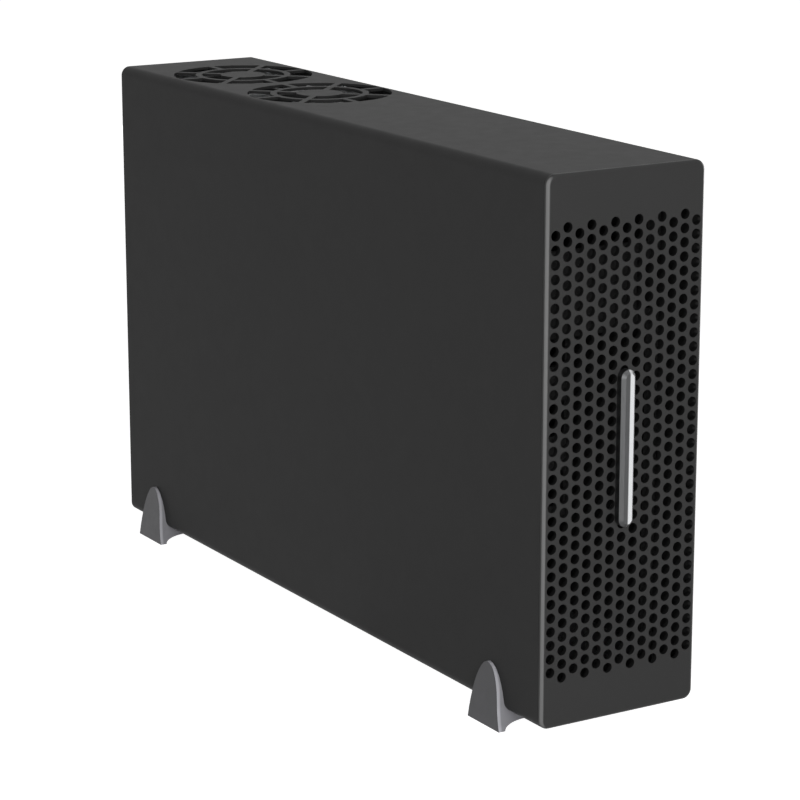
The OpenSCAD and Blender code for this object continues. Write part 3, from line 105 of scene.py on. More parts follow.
class Mat:
    """A node material with short helpers. Coordinates are the object's own, in metres."""

    def __init__(self, name, metallic=0.0, specular=0.5, coat=0.0, coat_rough=0.3):
        self.m = bpy.data.materials.new(name)
        self.m.use_nodes = True
        self.nt = self.m.node_tree
        self.bsdf = self.nt.nodes["Principled BSDF"]
        self.bsdf.inputs["Metallic"].default_value = metallic
        self.bsdf.inputs["Specular IOR Level"].default_value = specular
        self.bsdf.inputs["Coat Weight"].default_value = coat
        self.bsdf.inputs["Coat Roughness"].default_value = coat_rough
        self.coord = self.nt.nodes.new("ShaderNodeTexCoord").outputs["Object"]
        self.height = None

    def node(self, kind, **values):
        n = self.nt.nodes.new(kind)
        for key, value in values.items():
            setattr(n, key, value)
        return n

    def link(self, a, b):
        self.nt.links.new(a, b)

    def feed(self, value, socket):
        """Links a socket, or sets a number or a colour."""
        if isinstance(value, bpy.types.NodeSocket):
            self.link(value, socket)
        elif hasattr(value, "__len__"):
            socket.default_value = (*value, 1.0)
        else:
            socket.default_value = value

    def axis(self, index):
        """One coordinate of the point."""
        n = self.node("ShaderNodeSeparateXYZ")
        self.link(self.coord, n.inputs[0])
        return n.outputs[index]

    def turned_to(self, index):
        """How far the surface faces along one axis, either way: 0 to 1."""
        n = self.node("ShaderNodeSeparateXYZ")
        self.link(self.node("ShaderNodeNewGeometry").outputs["Normal"], n.inputs[0])
        return self.math("ABSOLUTE", n.outputs[index])

    def well_inside(self, node, axes, inset):
        """One where a point lies deeper than inset in the box of a CAD node, measured along the axes."""
        low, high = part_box(node)
        inside = 1.0
        for index in axes:
            middle, half = (low[index] + high[index]) / 2, (high[index] - low[index]) / 2
            off = self.math("ABSOLUTE", self.math("SUBTRACT", self.axis(index), middle))
            inside = self.math("MULTIPLY", self.math("LESS_THAN", off, half - inset), inside)
        return inside

    def stretched(self, scale):
        """The coordinates with a scale of their own along each axis."""
        mapping = self.node("ShaderNodeMapping")
        mapping.inputs["Scale"].default_value = scale
        self.link(self.coord, mapping.inputs["Vector"])
        return mapping.outputs["Vector"]

    def noise(self, scale, detail=3.0, rough=0.5, vector=None):
        """Soft noise with that many waves to a metre."""
        n = self.node("ShaderNodeTexNoise")
        n.inputs["Scale"].default_value = scale
        n.inputs["Detail"].default_value = detail
        n.inputs["Roughness"].default_value = rough
        self.link(vector or self.coord, n.inputs["Vector"])
        return n.outputs["Fac"]

    def voronoi(self, scale, metric="EUCLIDEAN", out="Distance"):
        """Cells, that many to a metre."""
        n = self.node("ShaderNodeTexVoronoi", distance=metric)
        n.inputs["Scale"].default_value = scale
        self.link(self.coord, n.inputs["Vector"])
        return n.outputs[out]

    def ramp(self, value, stops):
        """A colour or a grey share that follows the value through stops of (place, colour)."""
        n = self.node("ShaderNodeValToRGB")
        while len(n.color_ramp.elements) < len(stops):
            n.color_ramp.elements.new(0.5)
        for element, (at, colour) in zip(n.color_ramp.elements, stops):
            element.position = at
            rgb = colour if hasattr(colour, "__len__") else (colour,) * 3
            element.color = (*rgb, 1.0)
        self.link(value, n.inputs["Fac"])
        return n.outputs["Color"]

    def vary(self, value, base, low, high, start=0.3, end=0.7):
        """A tone between two shares of a base colour, as the value goes from start to end."""
        return self.ramp(value, [(start, scaled(base, low)), (end, scaled(base, high))])

    def shaded(self, tone, value, low, high, start=0.3, end=0.7):
        """The tone times a share from low to high, as the value goes from start to end."""
        return self.mix(1.0, tone, self.ramp(value, [(start, low), (end, high)]), "MULTIPLY")

    def range(self, value, low, high, from_low=0.3, from_high=0.7):
        """A number from low to high, as the value goes from from_low to from_high."""
        n = self.node("ShaderNodeMapRange")
        n.inputs["From Min"].default_value = from_low
        n.inputs["From Max"].default_value = from_high
        n.inputs["To Min"].default_value = low
        n.inputs["To Max"].default_value = high
        self.link(value, n.inputs["Value"])
        return n.outputs["Result"]

    def mix(self, factor, a, b, blend="MIX"):
        """Blends two colours. The node's sockets for colours are 6 and 7 in and 2 out."""
        n = self.node("ShaderNodeMix", data_type="RGBA", blend_type=blend)
        self.feed(factor, n.inputs[0])
        self.feed(a, n.inputs[6])
        self.feed(b, n.inputs[7])
        return n.outputs[2]

    def math(self, operation, a, b=0.0):
        n = self.node("ShaderNodeMath", operation=operation)
        self.feed(a, n.inputs[0])
        self.feed(b, n.inputs[1])
        return n.outputs[0]

    def bump(self, value, distance):
        """Adds relief of that height in metres to the relief given before."""
        n = self.node("ShaderNodeBump")
        n.inputs["Distance"].default_value = distance
        self.link(value, n.inputs["Height"])
        if self.height is not None:
            self.link(self.height, n.inputs["Normal"])
        self.height = n.outputs["Normal"]
        self.link(self.height, self.bsdf.inputs["Normal"])

    def colour(self, value):
        self.feed(value, self.bsdf.inputs["Base Color"])

    def rough(self, value):
        self.feed(value, self.bsdf.inputs["Roughness"])


# Materials

def painted(name, level, rough=(0.5, 0.58), peel=0.00002, specular=0.12, rim_highlight=None, bore=None):
    """Powder coat: fine grain, faint mottling and a slightly uneven gloss.

    Given a rim level, a painted highlight lightens the coat over rounded upright edges. Given bore, a
    node and a tone, painted shade darkens the walls of the node's holes from front to back.
    """
    m = Mat(name, specular=specular)
    fine = m.noise(2600.0, 2.0, 0.6)
    coat = m.shaded(m.vary(m.noise(38.0), grey(level), 0.98, 1.02), fine, 0.93, 1.06, 0.35)
    # Painted highlight on rounded upright edges, where the surface turns between the X and Y axes
    if rim_highlight:
        rim_highlight_share = m.math("MULTIPLY", m.turned_to(X), m.turned_to(Y))
        coat = m.mix(m.range(rim_highlight_share, 0.0, 1.0, 0.18, 0.4), coat, grey(rim_highlight))
    # Painted shade: the walls of the holes take the darker tone
    if bore:
        node, tone = bore
        wall = m.math("LESS_THAN", m.turned_to(Y), 0.3)
        wall = m.math("MULTIPLY", wall, m.well_inside(node, (X, Z), 2.5 * MM))
        coat = m.mix(wall, coat, grey(tone))
    m.colour(coat)
    m.rough(m.range(m.noise(120.0, 4.0, 0.6), *rough))
    m.bump(m.noise(900.0, 2.0), peel)
    m.bump(fine, peel * 0.35)
    return m.m


def brushed(name, level, tint, along, rough=(0.26, 0.42)):
    """Metal with fine drawn lines along one axis."""
    m = Mat(name, metallic=1.0)
    scale = [1.0, 1.0, 1.0]
    scale[along] = 0.02
    lines = m.noise(5200.0, 3.0, 0.7, m.stretched(scale))
    tone = m.vary(m.noise(26.0, 3.0, 0.55), grey(level, tint), 0.93, 1.07)
    m.colour(m.shaded(tone, lines, 0.88, 1.08))
    m.rough(m.range(lines, *rough))
    m.bump(lines, 0.00001)
    return m.m


def satin_with_highlight(name, level, highlight_level, tint, from_x):
    """Satin metal with lines drawn upright; beyond from_x it is smoother and carries a painted
    highlight.
    """
    m = Mat(name, metallic=1.0)
    polish_and_highlight = m.range(m.axis(X), 0.0, 1.0, from_x, from_x + 0.5 * MM)
    lines = m.noise(5200.0, 3.0, 0.7, m.stretched((1.0, 1.0, 0.02)))
    satin = m.shaded(grey(level, tint), lines, 0.82, 1.12)
    # Painted highlight: the side beyond from_x takes the bright colour
    m.colour(m.mix(polish_and_highlight, satin, grey(highlight_level, tint)))
    m.rough(m.math("SUBTRACT", m.range(lines, 0.34, 0.46), m.math("MULTIPLY", polish_and_highlight, 0.14)))
    m.bump(lines, 0.000008)
    return m.m


def cast_satin(name, level, lit_flank_level, ridge_highlight_level, tint, outer_x, lean):
    """Cast metal with a satin coat, with painted light: lighter narrow sides and a painted highlight
    along the outer edge.

    The outer face lies at outer_x on the desk and leans in by lean for each metre of height.
    """
    m = Mat(name, metallic=0.25, specular=0.3)
    cloud = m.noise(70.0, 3.0, 0.55)
    out = m.math("ADD", m.math("ABSOLUTE", m.axis(X)), m.math("MULTIPLY", m.axis(Z), lean))
    # Painted light: the narrow sides take a lighter level, with a painted highlight near the outer edge
    ridge_highlight = m.range(out, 0.0, 1.0, outer_x - 2.1 * MM, outer_x - 1.2 * MM)
    lit_flank = m.range(m.turned_to(X), 1.0, 0.0, 0.35, 0.65)
    tone = m.mix(lit_flank, grey(level, tint), m.mix(ridge_highlight, grey(lit_flank_level, tint), grey(ridge_highlight_level, tint)))
    m.colour(m.shaded(tone, cloud, 0.95, 1.04))
    m.rough(m.range(m.noise(240.0, 3.0, 0.6), 0.34, 0.44))
    m.bump(m.noise(1800.0, 2.0), 0.00001)
    return m.m


def plated(name, level, tint, rough=(0.28, 0.44), cell=190.0):
    """Zinc-plated sheet: soft spangle, cloudy gloss and faint rolling lines."""
    m = Mat(name, metallic=1.0)
    cloud = m.noise(30.0, 4.0, 0.6)
    spangle = m.vary(m.voronoi(cell, out="Color"), grey(level, tint), 0.93, 1.07, 0.1, 0.9)
    m.colour(m.shaded(spangle, cloud, 0.9, 1.06, 0.25, 0.75))
    lines = m.noise(2400.0, 2.0, 0.6, m.stretched((1.0, 0.03, 1.0)))
    m.rough(m.range(m.mix(0.5, cloud, lines), *rough))
    m.bump(lines, 0.000008)
    m.bump(cloud, 0.00004)
    return m.m


def port_shell(name, node):
    """Plated shell of a port, black inside its mouth, where the tongue is moulded plastic."""
    m = Mat(name, metallic=1.0)
    wall, mouth = 0.25 * MM, 0.2 * MM
    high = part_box(node)[1]
    inside = m.math("LESS_THAN", m.axis(Y), high[Y] - mouth)
    inside = m.math("MULTIPLY", inside, m.well_inside(node, (X, Z), wall))
    shell = m.ramp(m.noise(160.0, 3.0, 0.55), [(0.3, grey(190, COOL)), (0.7, grey(208, COOL))])
    m.colour(m.mix(inside, shell, CHIP_BLACK))
    m.rough(m.range(m.noise(4200.0, 3.0, 0.7), 0.16, 0.28))
    m.bump(m.noise(900.0, 2.0), 0.00001)
    return m.m


def plastic(name, level, tint=WHITE, rough=(0.42, 0.56), grain=1500.0, depth=0.00003):
    """Moulded plastic: spark-eroded grain and slight tone changes."""
    m = Mat(name, specular=0.35)
    m.colour(m.vary(m.noise(45.0), grey(level, tint), 0.9, 1.1))
    m.rough(m.range(m.noise(260.0, 3.0, 0.6), *rough))
    m.bump(m.noise(grain, 3.0, 0.6), depth)
    return m.m


def insulation(name, level, tint=WHITE):
    """Smooth coloured plastic round a wire."""
    return plastic(name, level, tint, rough=(0.34, 0.44), grain=2400.0, depth=0.000006)


def turned(name, level, tint, rough=(0.22, 0.34)):
    """Turned or cold-headed metal: fine random scratches and a slight cloud."""
    m = Mat(name, metallic=1.0)
    fine = m.noise(4200.0, 3.0, 0.7)
    m.colour(m.vary(m.noise(160.0, 3.0, 0.55), grey(level, tint), 0.88, 1.08))
    m.rough(m.range(fine, *rough))
    m.bump(fine, 0.00001)
    return m.m


MASK_DARK = (0.006, 0.035, 0.018)
MASK_LIGHT = (0.012, 0.085, 0.036)
COPPER = (0.55, 0.4, 0.16)


def board(name, face_x=None):
    """Circuit board: mask over laminate, tracks under the mask and small vias.

    Beyond face_x stand the packages on the board, which are black moulded plastic.
    """
    m = Mat(name, coat=0.35, coat_rough=0.18)
    cells = m.voronoi(150.0, metric="MANHATTAN")
    tracks = m.ramp(m.math("FRACT", m.math("MULTIPLY", cells, 4.2)),
                    [(0.42, 0.0), (0.5, 1.0), (0.7, 1.0), (0.78, 0.0)])
    pours = m.ramp(m.noise(22.0, 2.0, 0.4), [(0.52, 0.0), (0.54, 1.0)])
    base = m.mix(m.math("MAXIMUM", tracks, pours), MASK_DARK, MASK_LIGHT)
    vias = m.ramp(m.voronoi(210.0), [(0.1, 1.0), (0.14, 0.0)])
    base = m.mix(vias, base, COPPER)
    if face_x is not None:
        beyond = m.math("GREATER_THAN", m.axis(X), face_x)
        base = m.mix(beyond, base, CHIP_BLACK)
    m.colour(base)
    m.rough(m.range(m.noise(300.0, 3.0, 0.6), 0.3, 0.42))
    m.bump(tracks, 0.00003)
    return m.m


BOARD_T = 1.6 * MM
CARD_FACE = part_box("controller_card")[0][X] + BOARD_T
JUST_OFF = 0.05 * MM
FOOT_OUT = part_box("foot_front_right")[1][X]
FOOT_LEAN = 0.142
FOOT_TINT = (0.985, 0.98, 1.05)
BAR_RIDGE = -0.2 * MM

MATERIALS = {
    "sleeve_paint": painted("sleeve_paint", 44, rough=(0.52, 0.56), specular=0.06),
    # Bezel paint: a painted highlight on its upright rims and painted shade on the walls of its air
    # holes
    "bezel_paint": painted("bezel_paint", 45, rough=(0.4, 0.46), peel=0.000012, rim_highlight=100,
                           bore=("front_bezel", 20)),
    "frame_black": painted("frame_black", 30, rough=(0.5, 0.6)),
    # Trim bar: satin, with a painted highlight on its side beyond BAR_RIDGE
    "trim_satin": satin_with_highlight("trim_satin", 80, 202, COOL, BAR_RIDGE),
    # Feet: painted light on the fins' narrow sides and a painted highlight on their outer edge
    "foot_silver": cast_satin("foot_silver", 66, 134, 176, FOOT_TINT, FOOT_OUT, FOOT_LEAN),
    "zinc_sheet": plated("zinc_sheet", 174, COOL),
    "panel_sheet": plated("panel_sheet", 152, COOL, rough=(0.34, 0.5)),
    "psu_sheet": plated("psu_sheet", 164, (1.0, 1.0, 0.99), rough=(0.3, 0.42), cell=320.0),
    "screw_steel": turned("screw_steel", 196, COOL),
    "thumb_dark": turned("thumb_dark", 96, COOL, rough=(0.32, 0.44)),
    "black_plastic": plastic("black_plastic", 30),
    "rotor_plastic": plastic("rotor_plastic", 36, rough=(0.3, 0.42), grain=2600.0, depth=0.00001),
    "guide_plastic": plastic("guide_plastic", 40, rough=(0.48, 0.6)),
    "board_green": board("board_green"),
    "supply_board": plastic("supply_board", 120, (1.0, 0.62, 0.3), rough=(0.4, 0.6)),
    "standoff_brass": turned("standoff_brass", 205, (1.0, 0.78, 0.4)),
    "sink_metal": brushed("sink_metal", 186, COOL, Y, rough=(0.36, 0.5)),
    "bracket_steel": brushed("bracket_steel", 190, COOL, Z, rough=(0.2, 0.34)),
    "port_shell": turned("port_shell", 206, (1.0, 0.99, 0.96), rough=(0.14, 0.24)),
    "plug_white": plastic("plug_white", 214, (1.0, 0.98, 0.9), rough=(0.3, 0.4)),
    "lead_jacket": plastic("lead_jacket", 26, rough=(0.4, 0.55), grain=700.0),
}
NODE_MATERIALS = {
    "controller_card": board("card_green", CARD_FACE + JUST_OFF),
    "port_a": port_shell("port_a_shell", "port_a"),
    "port_b": port_shell("port_b_shell", "port_b"),
}

CHIP = plastic("chip_epoxy", 34, rough=(0.5, 0.62), grain=5200.0, depth=0.000006)
TIN = turned("tinned_lead", 205, COOL, rough=(0.3, 0.45))
GOLD = turned("contact_gold", 228, (1.0, 0.78, 0.36), rough=(0.2, 0.32))
CERAMIC = plastic("ceramic_tan", 176, (1.0, 0.78, 0.52), rough=(0.4, 0.5), grain=3000.0, depth=0.000004)
RESISTOR = plastic("resistor_black", 40, rough=(0.3, 0.42), grain=3000.0, depth=0.000004)
CAN_TOP = turned("can_top", 210, COOL, rough=(0.26, 0.38))
CAN_SLEEVE = plastic("can_sleeve", 40, (0.9, 0.95, 1.2), rough=(0.24, 0.34), grain=900.0, depth=0.000008)
FERRITE = plastic("ferrite_grey", 84, rough=(0.5, 0.62), grain=3800.0, depth=0.00001)
INK = plastic("board_ink", 205, rough=(0.5, 0.6), grain=3000.0, depth=0.000003)
WIRES = {
    "red": insulation("wire_red", 150, (1.0, 0.05, 0.04)),
    "black": insulation("wire_black", 34),
    "yellow": insulation("wire_yellow", 215, (1.0, 0.72, 0.04)),
    "orange": insulation("wire_orange", 200, (1.0, 0.34, 0.03)),
}

slot_of = {entry["node"]: entry["material_slot"] for entry in frame["record"]["subparts"]}
for name, node in nodes.items():
    material = NODE_MATERIALS.get(name, MATERIALS[slot_of[name]])
    if not node.data.materials:
        node.data.materials.append(material)
    for index in range(len(node.material_slots)):
        node.material_slots[index].material = material


# Modelling helpers

SHARP_ANGLE = math.radians(35)
BLOCK_SIDES = ((0, 1, 3, 2), (4, 6, 7, 5), (0, 4, 5, 1), (2, 3, 7, 6), (0, 2, 6, 4), (1, 5, 7, 3))


def seat(origin, u, v, w):
    """A place for parts: origin in metres, three axes, and millimetres along them."""
    turn = Matrix((u, v, w)).transposed().to_4x4()
    return Matrix.Translation(origin) @ turn @ Matrix.Scale(MM, 4)


class Shape:
    """Collects bevelled blocks and turned forms, in millimetres on a seat, into one mesh."""

    def __init__(self, place, *materials):
        self.bm = bmesh.new()
        self.place = place
        self.materials = materials

    def block(self, low, high, material=0, bevel=0.0):
        """A block between two corners, with all its edges bevelled where a bevel is given."""
        corners = itertools.product(*zip(low, high))
        verts = [self.bm.verts.new(self.place @ Vector(corner)) for corner in corners]
        faces = [self.bm.faces.new([verts[i] for i in side]) for side in BLOCK_SIDES]
        for face in faces:
            face.material_index = material
        if bevel:
            edges = list({e for f in faces for e in f.edges})
            bmesh.ops.bevel(self.bm, geom=edges, offset=bevel * MM, segments=1, profile=0.5,
                            affect="EDGES", clamp_overlap=True, material=material)

    def turned(self, at, profile, material=0, sides=24):
        """Turns a list of (radius, height) points round the third axis through at."""
        rings = []
        for radius, height in profile:
            ring = []
            for k in range(sides if radius > 0 else 1):
                angle = 2 * math.pi * k / sides
                point = Vector((radius * math.cos(angle), radius * math.sin(angle), height))
                ring.append(self.bm.verts.new(self.place @ (Vector(at) + point)))
            rings.append(ring)
        for low, high in zip(rings, rings[1:]):
            for k in range(sides):
                here = (low[k % len(low)], low[(k + 1) % len(low)])
                above = (high[(k + 1) % len(high)], high[k % len(high)])
                corners = list(dict.fromkeys(here + above))
                if len(corners) > 2:
                    self.bm.faces.new(corners).material_index = material

    def finish(self, name, body):
        """Makes the object, which rides on a body."""
        bmesh.ops.recalc_face_normals(self.bm, faces=self.bm.faces)
        mesh = bpy.data.meshes.new(name)
        self.bm.to_mesh(mesh)
        self.bm.free()
        for material in self.materials:
            mesh.materials.append(material)
        mesh.shade_smooth()
        mesh.set_sharp_from_angle(angle=SHARP_ANGLE)
        piece = bpy.data.objects.new(name, mesh)
        scene.collection.objects.link(piece)
        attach(piece, body)
        return piece


PART_MATERIALS = (CHIP, TIN, CERAMIC, RESISTOR, CAN_SLEEVE, CAN_TOP, FERRITE, INK)
M_CHIP, M_TIN, M_CERAMIC, M_RESISTOR, M_SLEEVE, M_TOP, M_FERRITE, M_INK = range(8)


def chip(shape, x, y, w, l, h=1.0, pins=6, four_sides=False):
    """Moulded package with gull-wing leads, a pin mark and its printed outline.

    Leads run along the two sides across x, and along the other two as well where four_sides is set.
    """
    shape.block((x - w / 2, y - l / 2, 0.1), (x + w / 2, y + l / 2, h), M_CHIP, 0.12)
    mark = [(0.3, 0.0), (0.3, 0.015), (0.0, 0.015)]
    shape.turned((x - w / 2 + 0.9, y + l / 2 - 0.9, h), mark, M_INK, 12)
    foot_l = 0.9 if h > 0.9 else 0.5
    foot_t, half, root, span = 0.2, 0.17, 0.1, 0.86
    for side in (-1, 1):
        for k in range(pins):
            share = (k - (pins - 1) / 2) * span / pins
            edge, v = x + side * w / 2, y + share * l
            low, high = sorted((edge - side * root, edge + side * foot_l))
            shape.block((low, v - half, 0.0), (high, v + half, foot_t), M_TIN)
            low, high = sorted((edge - side * root, edge + side * foot_l * 0.45))
            shape.block((low, v - half, foot_t), (high, v + half, h * 0.55), M_TIN)
            if four_sides:
                edge, u = y + side * l / 2, x + share * w
                low, high = sorted((edge - side * root, edge + side * foot_l))
                shape.block((u - half, low, 0.0), (u + half, high, foot_t), M_TIN)
    wide, long = w / 2 + foot_l + 0.5, l / 2 + 0.8
    outline(shape, x - wide, y - long, x + wide, y + long)


def outline(shape, x0, y0, x1, y1):
    """Printed rectangle on the board."""
    line, rise = 0.18, 0.02
    shape.block((x0, y0, 0), (x1, y0 + line, rise), M_INK)
    shape.block((x0, y1 - line, 0), (x1, y1, rise), M_INK)
    shape.block((x0, y0, 0), (x0 + line, y1, rise), M_INK)
    shape.block((x1 - line, y0, 0), (x1, y1, rise), M_INK)


def two_pole(shape, x, y, along_x=True, body=M_CERAMIC):
    """Chip capacitor or resistor with its two tinned ends."""
    length, width, height, tinned, over = 1.6, 0.8, 0.64, 0.384, 0.02
    half = (length / 2, width / 2) if along_x else (width / 2, length / 2)
    shape.block((x - half[0], y - half[1], over), (x + half[0], y + half[1], height), body)
    index = X if along_x else Y
    for side in (-1, 1):
        low = [x - half[0] - over, y - half[1] - over]
        high = [x + half[0] + over, y + half[1] + over]
        if side < 0:
            high[index] = low[index] + tinned
        else:
            low[index] = high[index] - tinned
        shape.block((*low, 0.0), (*high, height + 0.03), M_TIN)


def can(shape, x, y, radius, height):
    """Electrolytic capacitor: rolled sleeve and bare top with its dark cross."""
    lip = radius * 0.12
    top = height - lip / 2
    sleeve = [(radius * 0.9, 0.0), (radius, lip), (radius, height - lip), (radius - lip, height),
              (radius * 0.8, height)]
    shape.turned((x, y, 0), sleeve, M_SLEEVE)
    shape.turned((x, y, top), [(radius * 0.82, 0.0), (radius * 0.78, 0.0), (0.0, 0.0)], M_TOP)
    for across, along in ((radius * 0.6, 0.12), (0.12, radius * 0.6)):
        shape.block((x - across, y - along, top), (x + across, y + along, top + 0.05), M_SLEEVE)


def coil(shape, x, y, side, height):
    """Moulded power inductor with its two tinned ends."""
    shape.block((x - side / 2, y - side / 2, 0.15), (x + side / 2, y + side / 2, height), M_FERRITE, 0.5)
    for s in (-1, 1):
        low, high = sorted((x + s * side / 2 - s * 0.4, x + s * side / 2 + s * 0.5))
        shape.block((low, y - side / 4, 0.0), (high, y + side / 4, height * 0.45), M_TIN)


def crystal(shape, x, y):
    """Metal can of a crystal, in its printed outline."""
    shape.block((x - 2.5, y - 1.6, 0.1), (x + 2.5, y + 1.6, 1.1), M_TOP, 0.35)
    outline(shape, x - 3.2, y - 2.3, x + 3.2, y + 2.3)


def room(x, y, half):
    """Square of the board that a part takes, as two corners."""
    return x - half, y - half, x + half, y + half


def scatter(shape, rng, area, keep_clear, count):
    """Small two-pole parts on a half-millimetre grid, clear of the boxes given and of each other."""
    taken = list(keep_clear)
    for _ in range(count * 6):
        x = round(rng.uniform(area[0], area[2]) * 2) / 2
        y = round(rng.uniform(area[1], area[3]) * 2) / 2
        if any(a - 1.5 < x < c + 1.5 and b - 1.5 < y < d + 1.5 for a, b, c, d in taken):
            continue
        along_x = rng.random() < 0.5
        two_pole(shape, x, y, along_x, rng.choice((M_CERAMIC, M_CERAMIC, M_RESISTOR)))
        taken.append(room(x, y, 0.8))
        count -= 1
        if not count:
            return


# Places taken from the frame, in millimetres

def box_mm(node):
    """The two corners of a node's box, in millimetres."""
    low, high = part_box(node)
    return Vector(low) / MM, Vector(high) / MM


board_lo, board_hi = box_mm("backplane_board")
BOARD_TOP = board_hi.z
connectors = [box_mm("pcie_connector_%d" % i) for i in (1, 2, 3, 4)]
CONN_X = [(lo.x + hi.x) / 2 for lo, hi in connectors]
CONN_HOOK = 4.0
CONN_Y0 = connectors[0][0].y + CONN_HOOK
CONN_Y1 = connectors[0][1].y
CONN_H = 11.2
END_T = 2.0
KEY_OFF = 14.0
CARD_SEAT = 3.0
PITCH = 1.0
CONTACT_ROWS = ((CONN_Y0 + END_T, CONN_Y1 - KEY_OFF - END_T / 2),
                (CONN_Y1 - KEY_OFF + END_T / 2, CONN_Y1 - END_T))
FINGER_ROWS = ((CONN_Y0 + 2.4, CONN_Y1 - KEY_OFF - 1.2),
               (CONN_Y1 - KEY_OFF + 1.2, CONN_Y1 - 2.4))
header_lo, header_hi = box_mm("power_header")
plugs_lo, plugs_hi = box_mm("fan_plugs")
screws_lo, screws_hi = box_mm("board_screws")
SCREW_SHARES = (0.14, 0.5, 0.95)
card_lo, card_hi = box_mm("controller_card")
sink_lo, sink_hi = box_mm("controller_heatsink")
FACE_X = card_lo.x + BOARD_T / MM
EDGE_Z = BOARD_TOP + CONN_H + BOARD_T / MM

UP = seat((0, 0, BOARD_TOP * MM), (1, 0, 0), (0, 1, 0), (0, 0, 1))
CARD_FRONT = seat((FACE_X * MM, 0, 0), (0, 1, 0), (0, 0, 1), (1, 0, 0))
CARD_BACK = seat((card_lo.x * MM, 0, 0), (0, -1, 0), (0, 0, 1), (-1, 0, 0))


# Parts on the backplane

def backplane_parts():
    """Cans, coils, chips and small parts round the card sockets."""
    shape = Shape(UP, *PART_MATERIALS)
    rng = random.Random(11)
    y_front, y_rear = header_hi.y + 10, CONN_Y1 + 14
    taken = [(header_lo.x, header_lo.y, header_hi.x, header_hi.y)]
    taken.append((plugs_lo.x, plugs_lo.y, plugs_hi.x, plugs_hi.y))
    taken += [(lo.x, lo.y, hi.x, hi.y) for lo, hi in connectors]
    # Tinned collars round the board's screws
    bore, pad, tin = 3.3, 4.2, 0.03
    collar = [(bore, 0.0), (pad, 0.0), (pad, tin), (bore, tin), (bore, 0.0)]
    for x in (screws_lo.x + 3, screws_hi.x - 3):
        for share in SCREW_SHARES:
            y = board_lo.y + share * (board_hi.y - board_lo.y)
            shape.turned((x, y, 0), collar, M_TIN)
            taken.append(room(x, y, pad))
    # Power stage behind the header
    for x in (-16.0, -7.0, 2.0):
        can(shape, x, y_front, 3.9, 10.5)
        taken.append(room(x, y_front, 4))
    for x in (-12.0, -2.5):
        coil(shape, x, y_front + 10, 6.8, 3.2)
        taken.append(room(x, y_front + 10, 4))
    for x, y in ((7.5, y_front + 11), (15.0, y_front + 11), (15.0, y_front), (-36.0, y_front + 8)):
        chip(shape, x, y, 3.9, 4.9, 1.4, 4)
        taken.append(room(x, y, 3.5))
    # Chips behind the sockets
    for x in (CONN_X[0] + 10, CONN_X[1] + 10, CONN_X[2] + 9):
        chip(shape, x, y_rear, 7.0, 7.0, 0.9, 10, True)
        taken.append(room(x, y_rear, 5))
    crystal(shape, CONN_X[1] + 1, y_rear + 9)
    taken.append((CONN_X[1] - 3, y_rear + 6, CONN_X[1] + 5, y_rear + 12))
    chip(shape, -36.0, y_rear + 4, 3.9, 9.9, 1.4, 8)
    taken.append((-40, y_rear - 3, -32, y_rear + 11))
    # Small parts along each socket, and its printed outline
    for x in CONN_X:
        for k in range(16):
            y = CONN_Y0 + 6 + k * 4.6
            two_pole(shape, x + 5.4, y, along_x=True)
            two_pole(shape, x + 5.4, y + 1.5, along_x=True)
        taken.append((x + 4, CONN_Y0, x + 7, CONN_Y1))
        outline(shape, x - 4.6, CONN_Y0 - CONN_HOOK - 1.0, x + 4.6, CONN_Y1 + 1.0)
    edge = 2.0
    left, right = board_lo.x + edge, board_hi.x - edge
    scatter(shape, rng, (left, header_hi.y + 3, right, CONN_Y0 - CONN_HOOK - edge), taken, 60)
    scatter(shape, rng, (left, CONN_Y1 + edge, right, board_hi.y - edge), taken, 70)
    shape.finish("backplane_parts", "card_cage")


def row(first, last):
    """Middles of the contacts that fit between the two ends of a row."""
    count = int((last - first - 0.6) / PITCH)
    return [(first + last) / 2 + (k - (count - 1) / 2) * PITCH for k in range(count)]


def connector_contacts():
    """Two rows of sprung contacts on the walls of each slot."""
    shape = Shape(UP, GOLD)
    wall, proud = 0.95, 0.12
    for x in CONN_X:
        for ends in CONTACT_ROWS:
            for y in row(*ends):
                for side in (-1, 1):
                    low, high = sorted((x + side * (wall - proud), x + side * wall))
                    shape.block((low, y - 0.27, CARD_SEAT), (high, y + 0.27, CONN_H - 0.9))
    shape.finish("connector_contacts", "card_cage")


def card_fingers():
    """Plated fingers on both faces of the controller card's edge."""
    low, high, rise = BOARD_TOP + CARD_SEAT + 0.4, EDGE_Z - 0.4, 0.02
    for face, place, sign in (("front", CARD_FRONT, 1), ("back", CARD_BACK, -1)):
        shape = Shape(place, GOLD)
        for ends in FINGER_ROWS:
            for y in row(*ends):
                shape.block((sign * y - 0.35, low, 0.0), (sign * y + 0.35, high, rise))
        shape.finish("card_fingers_" + face, "card_cage")


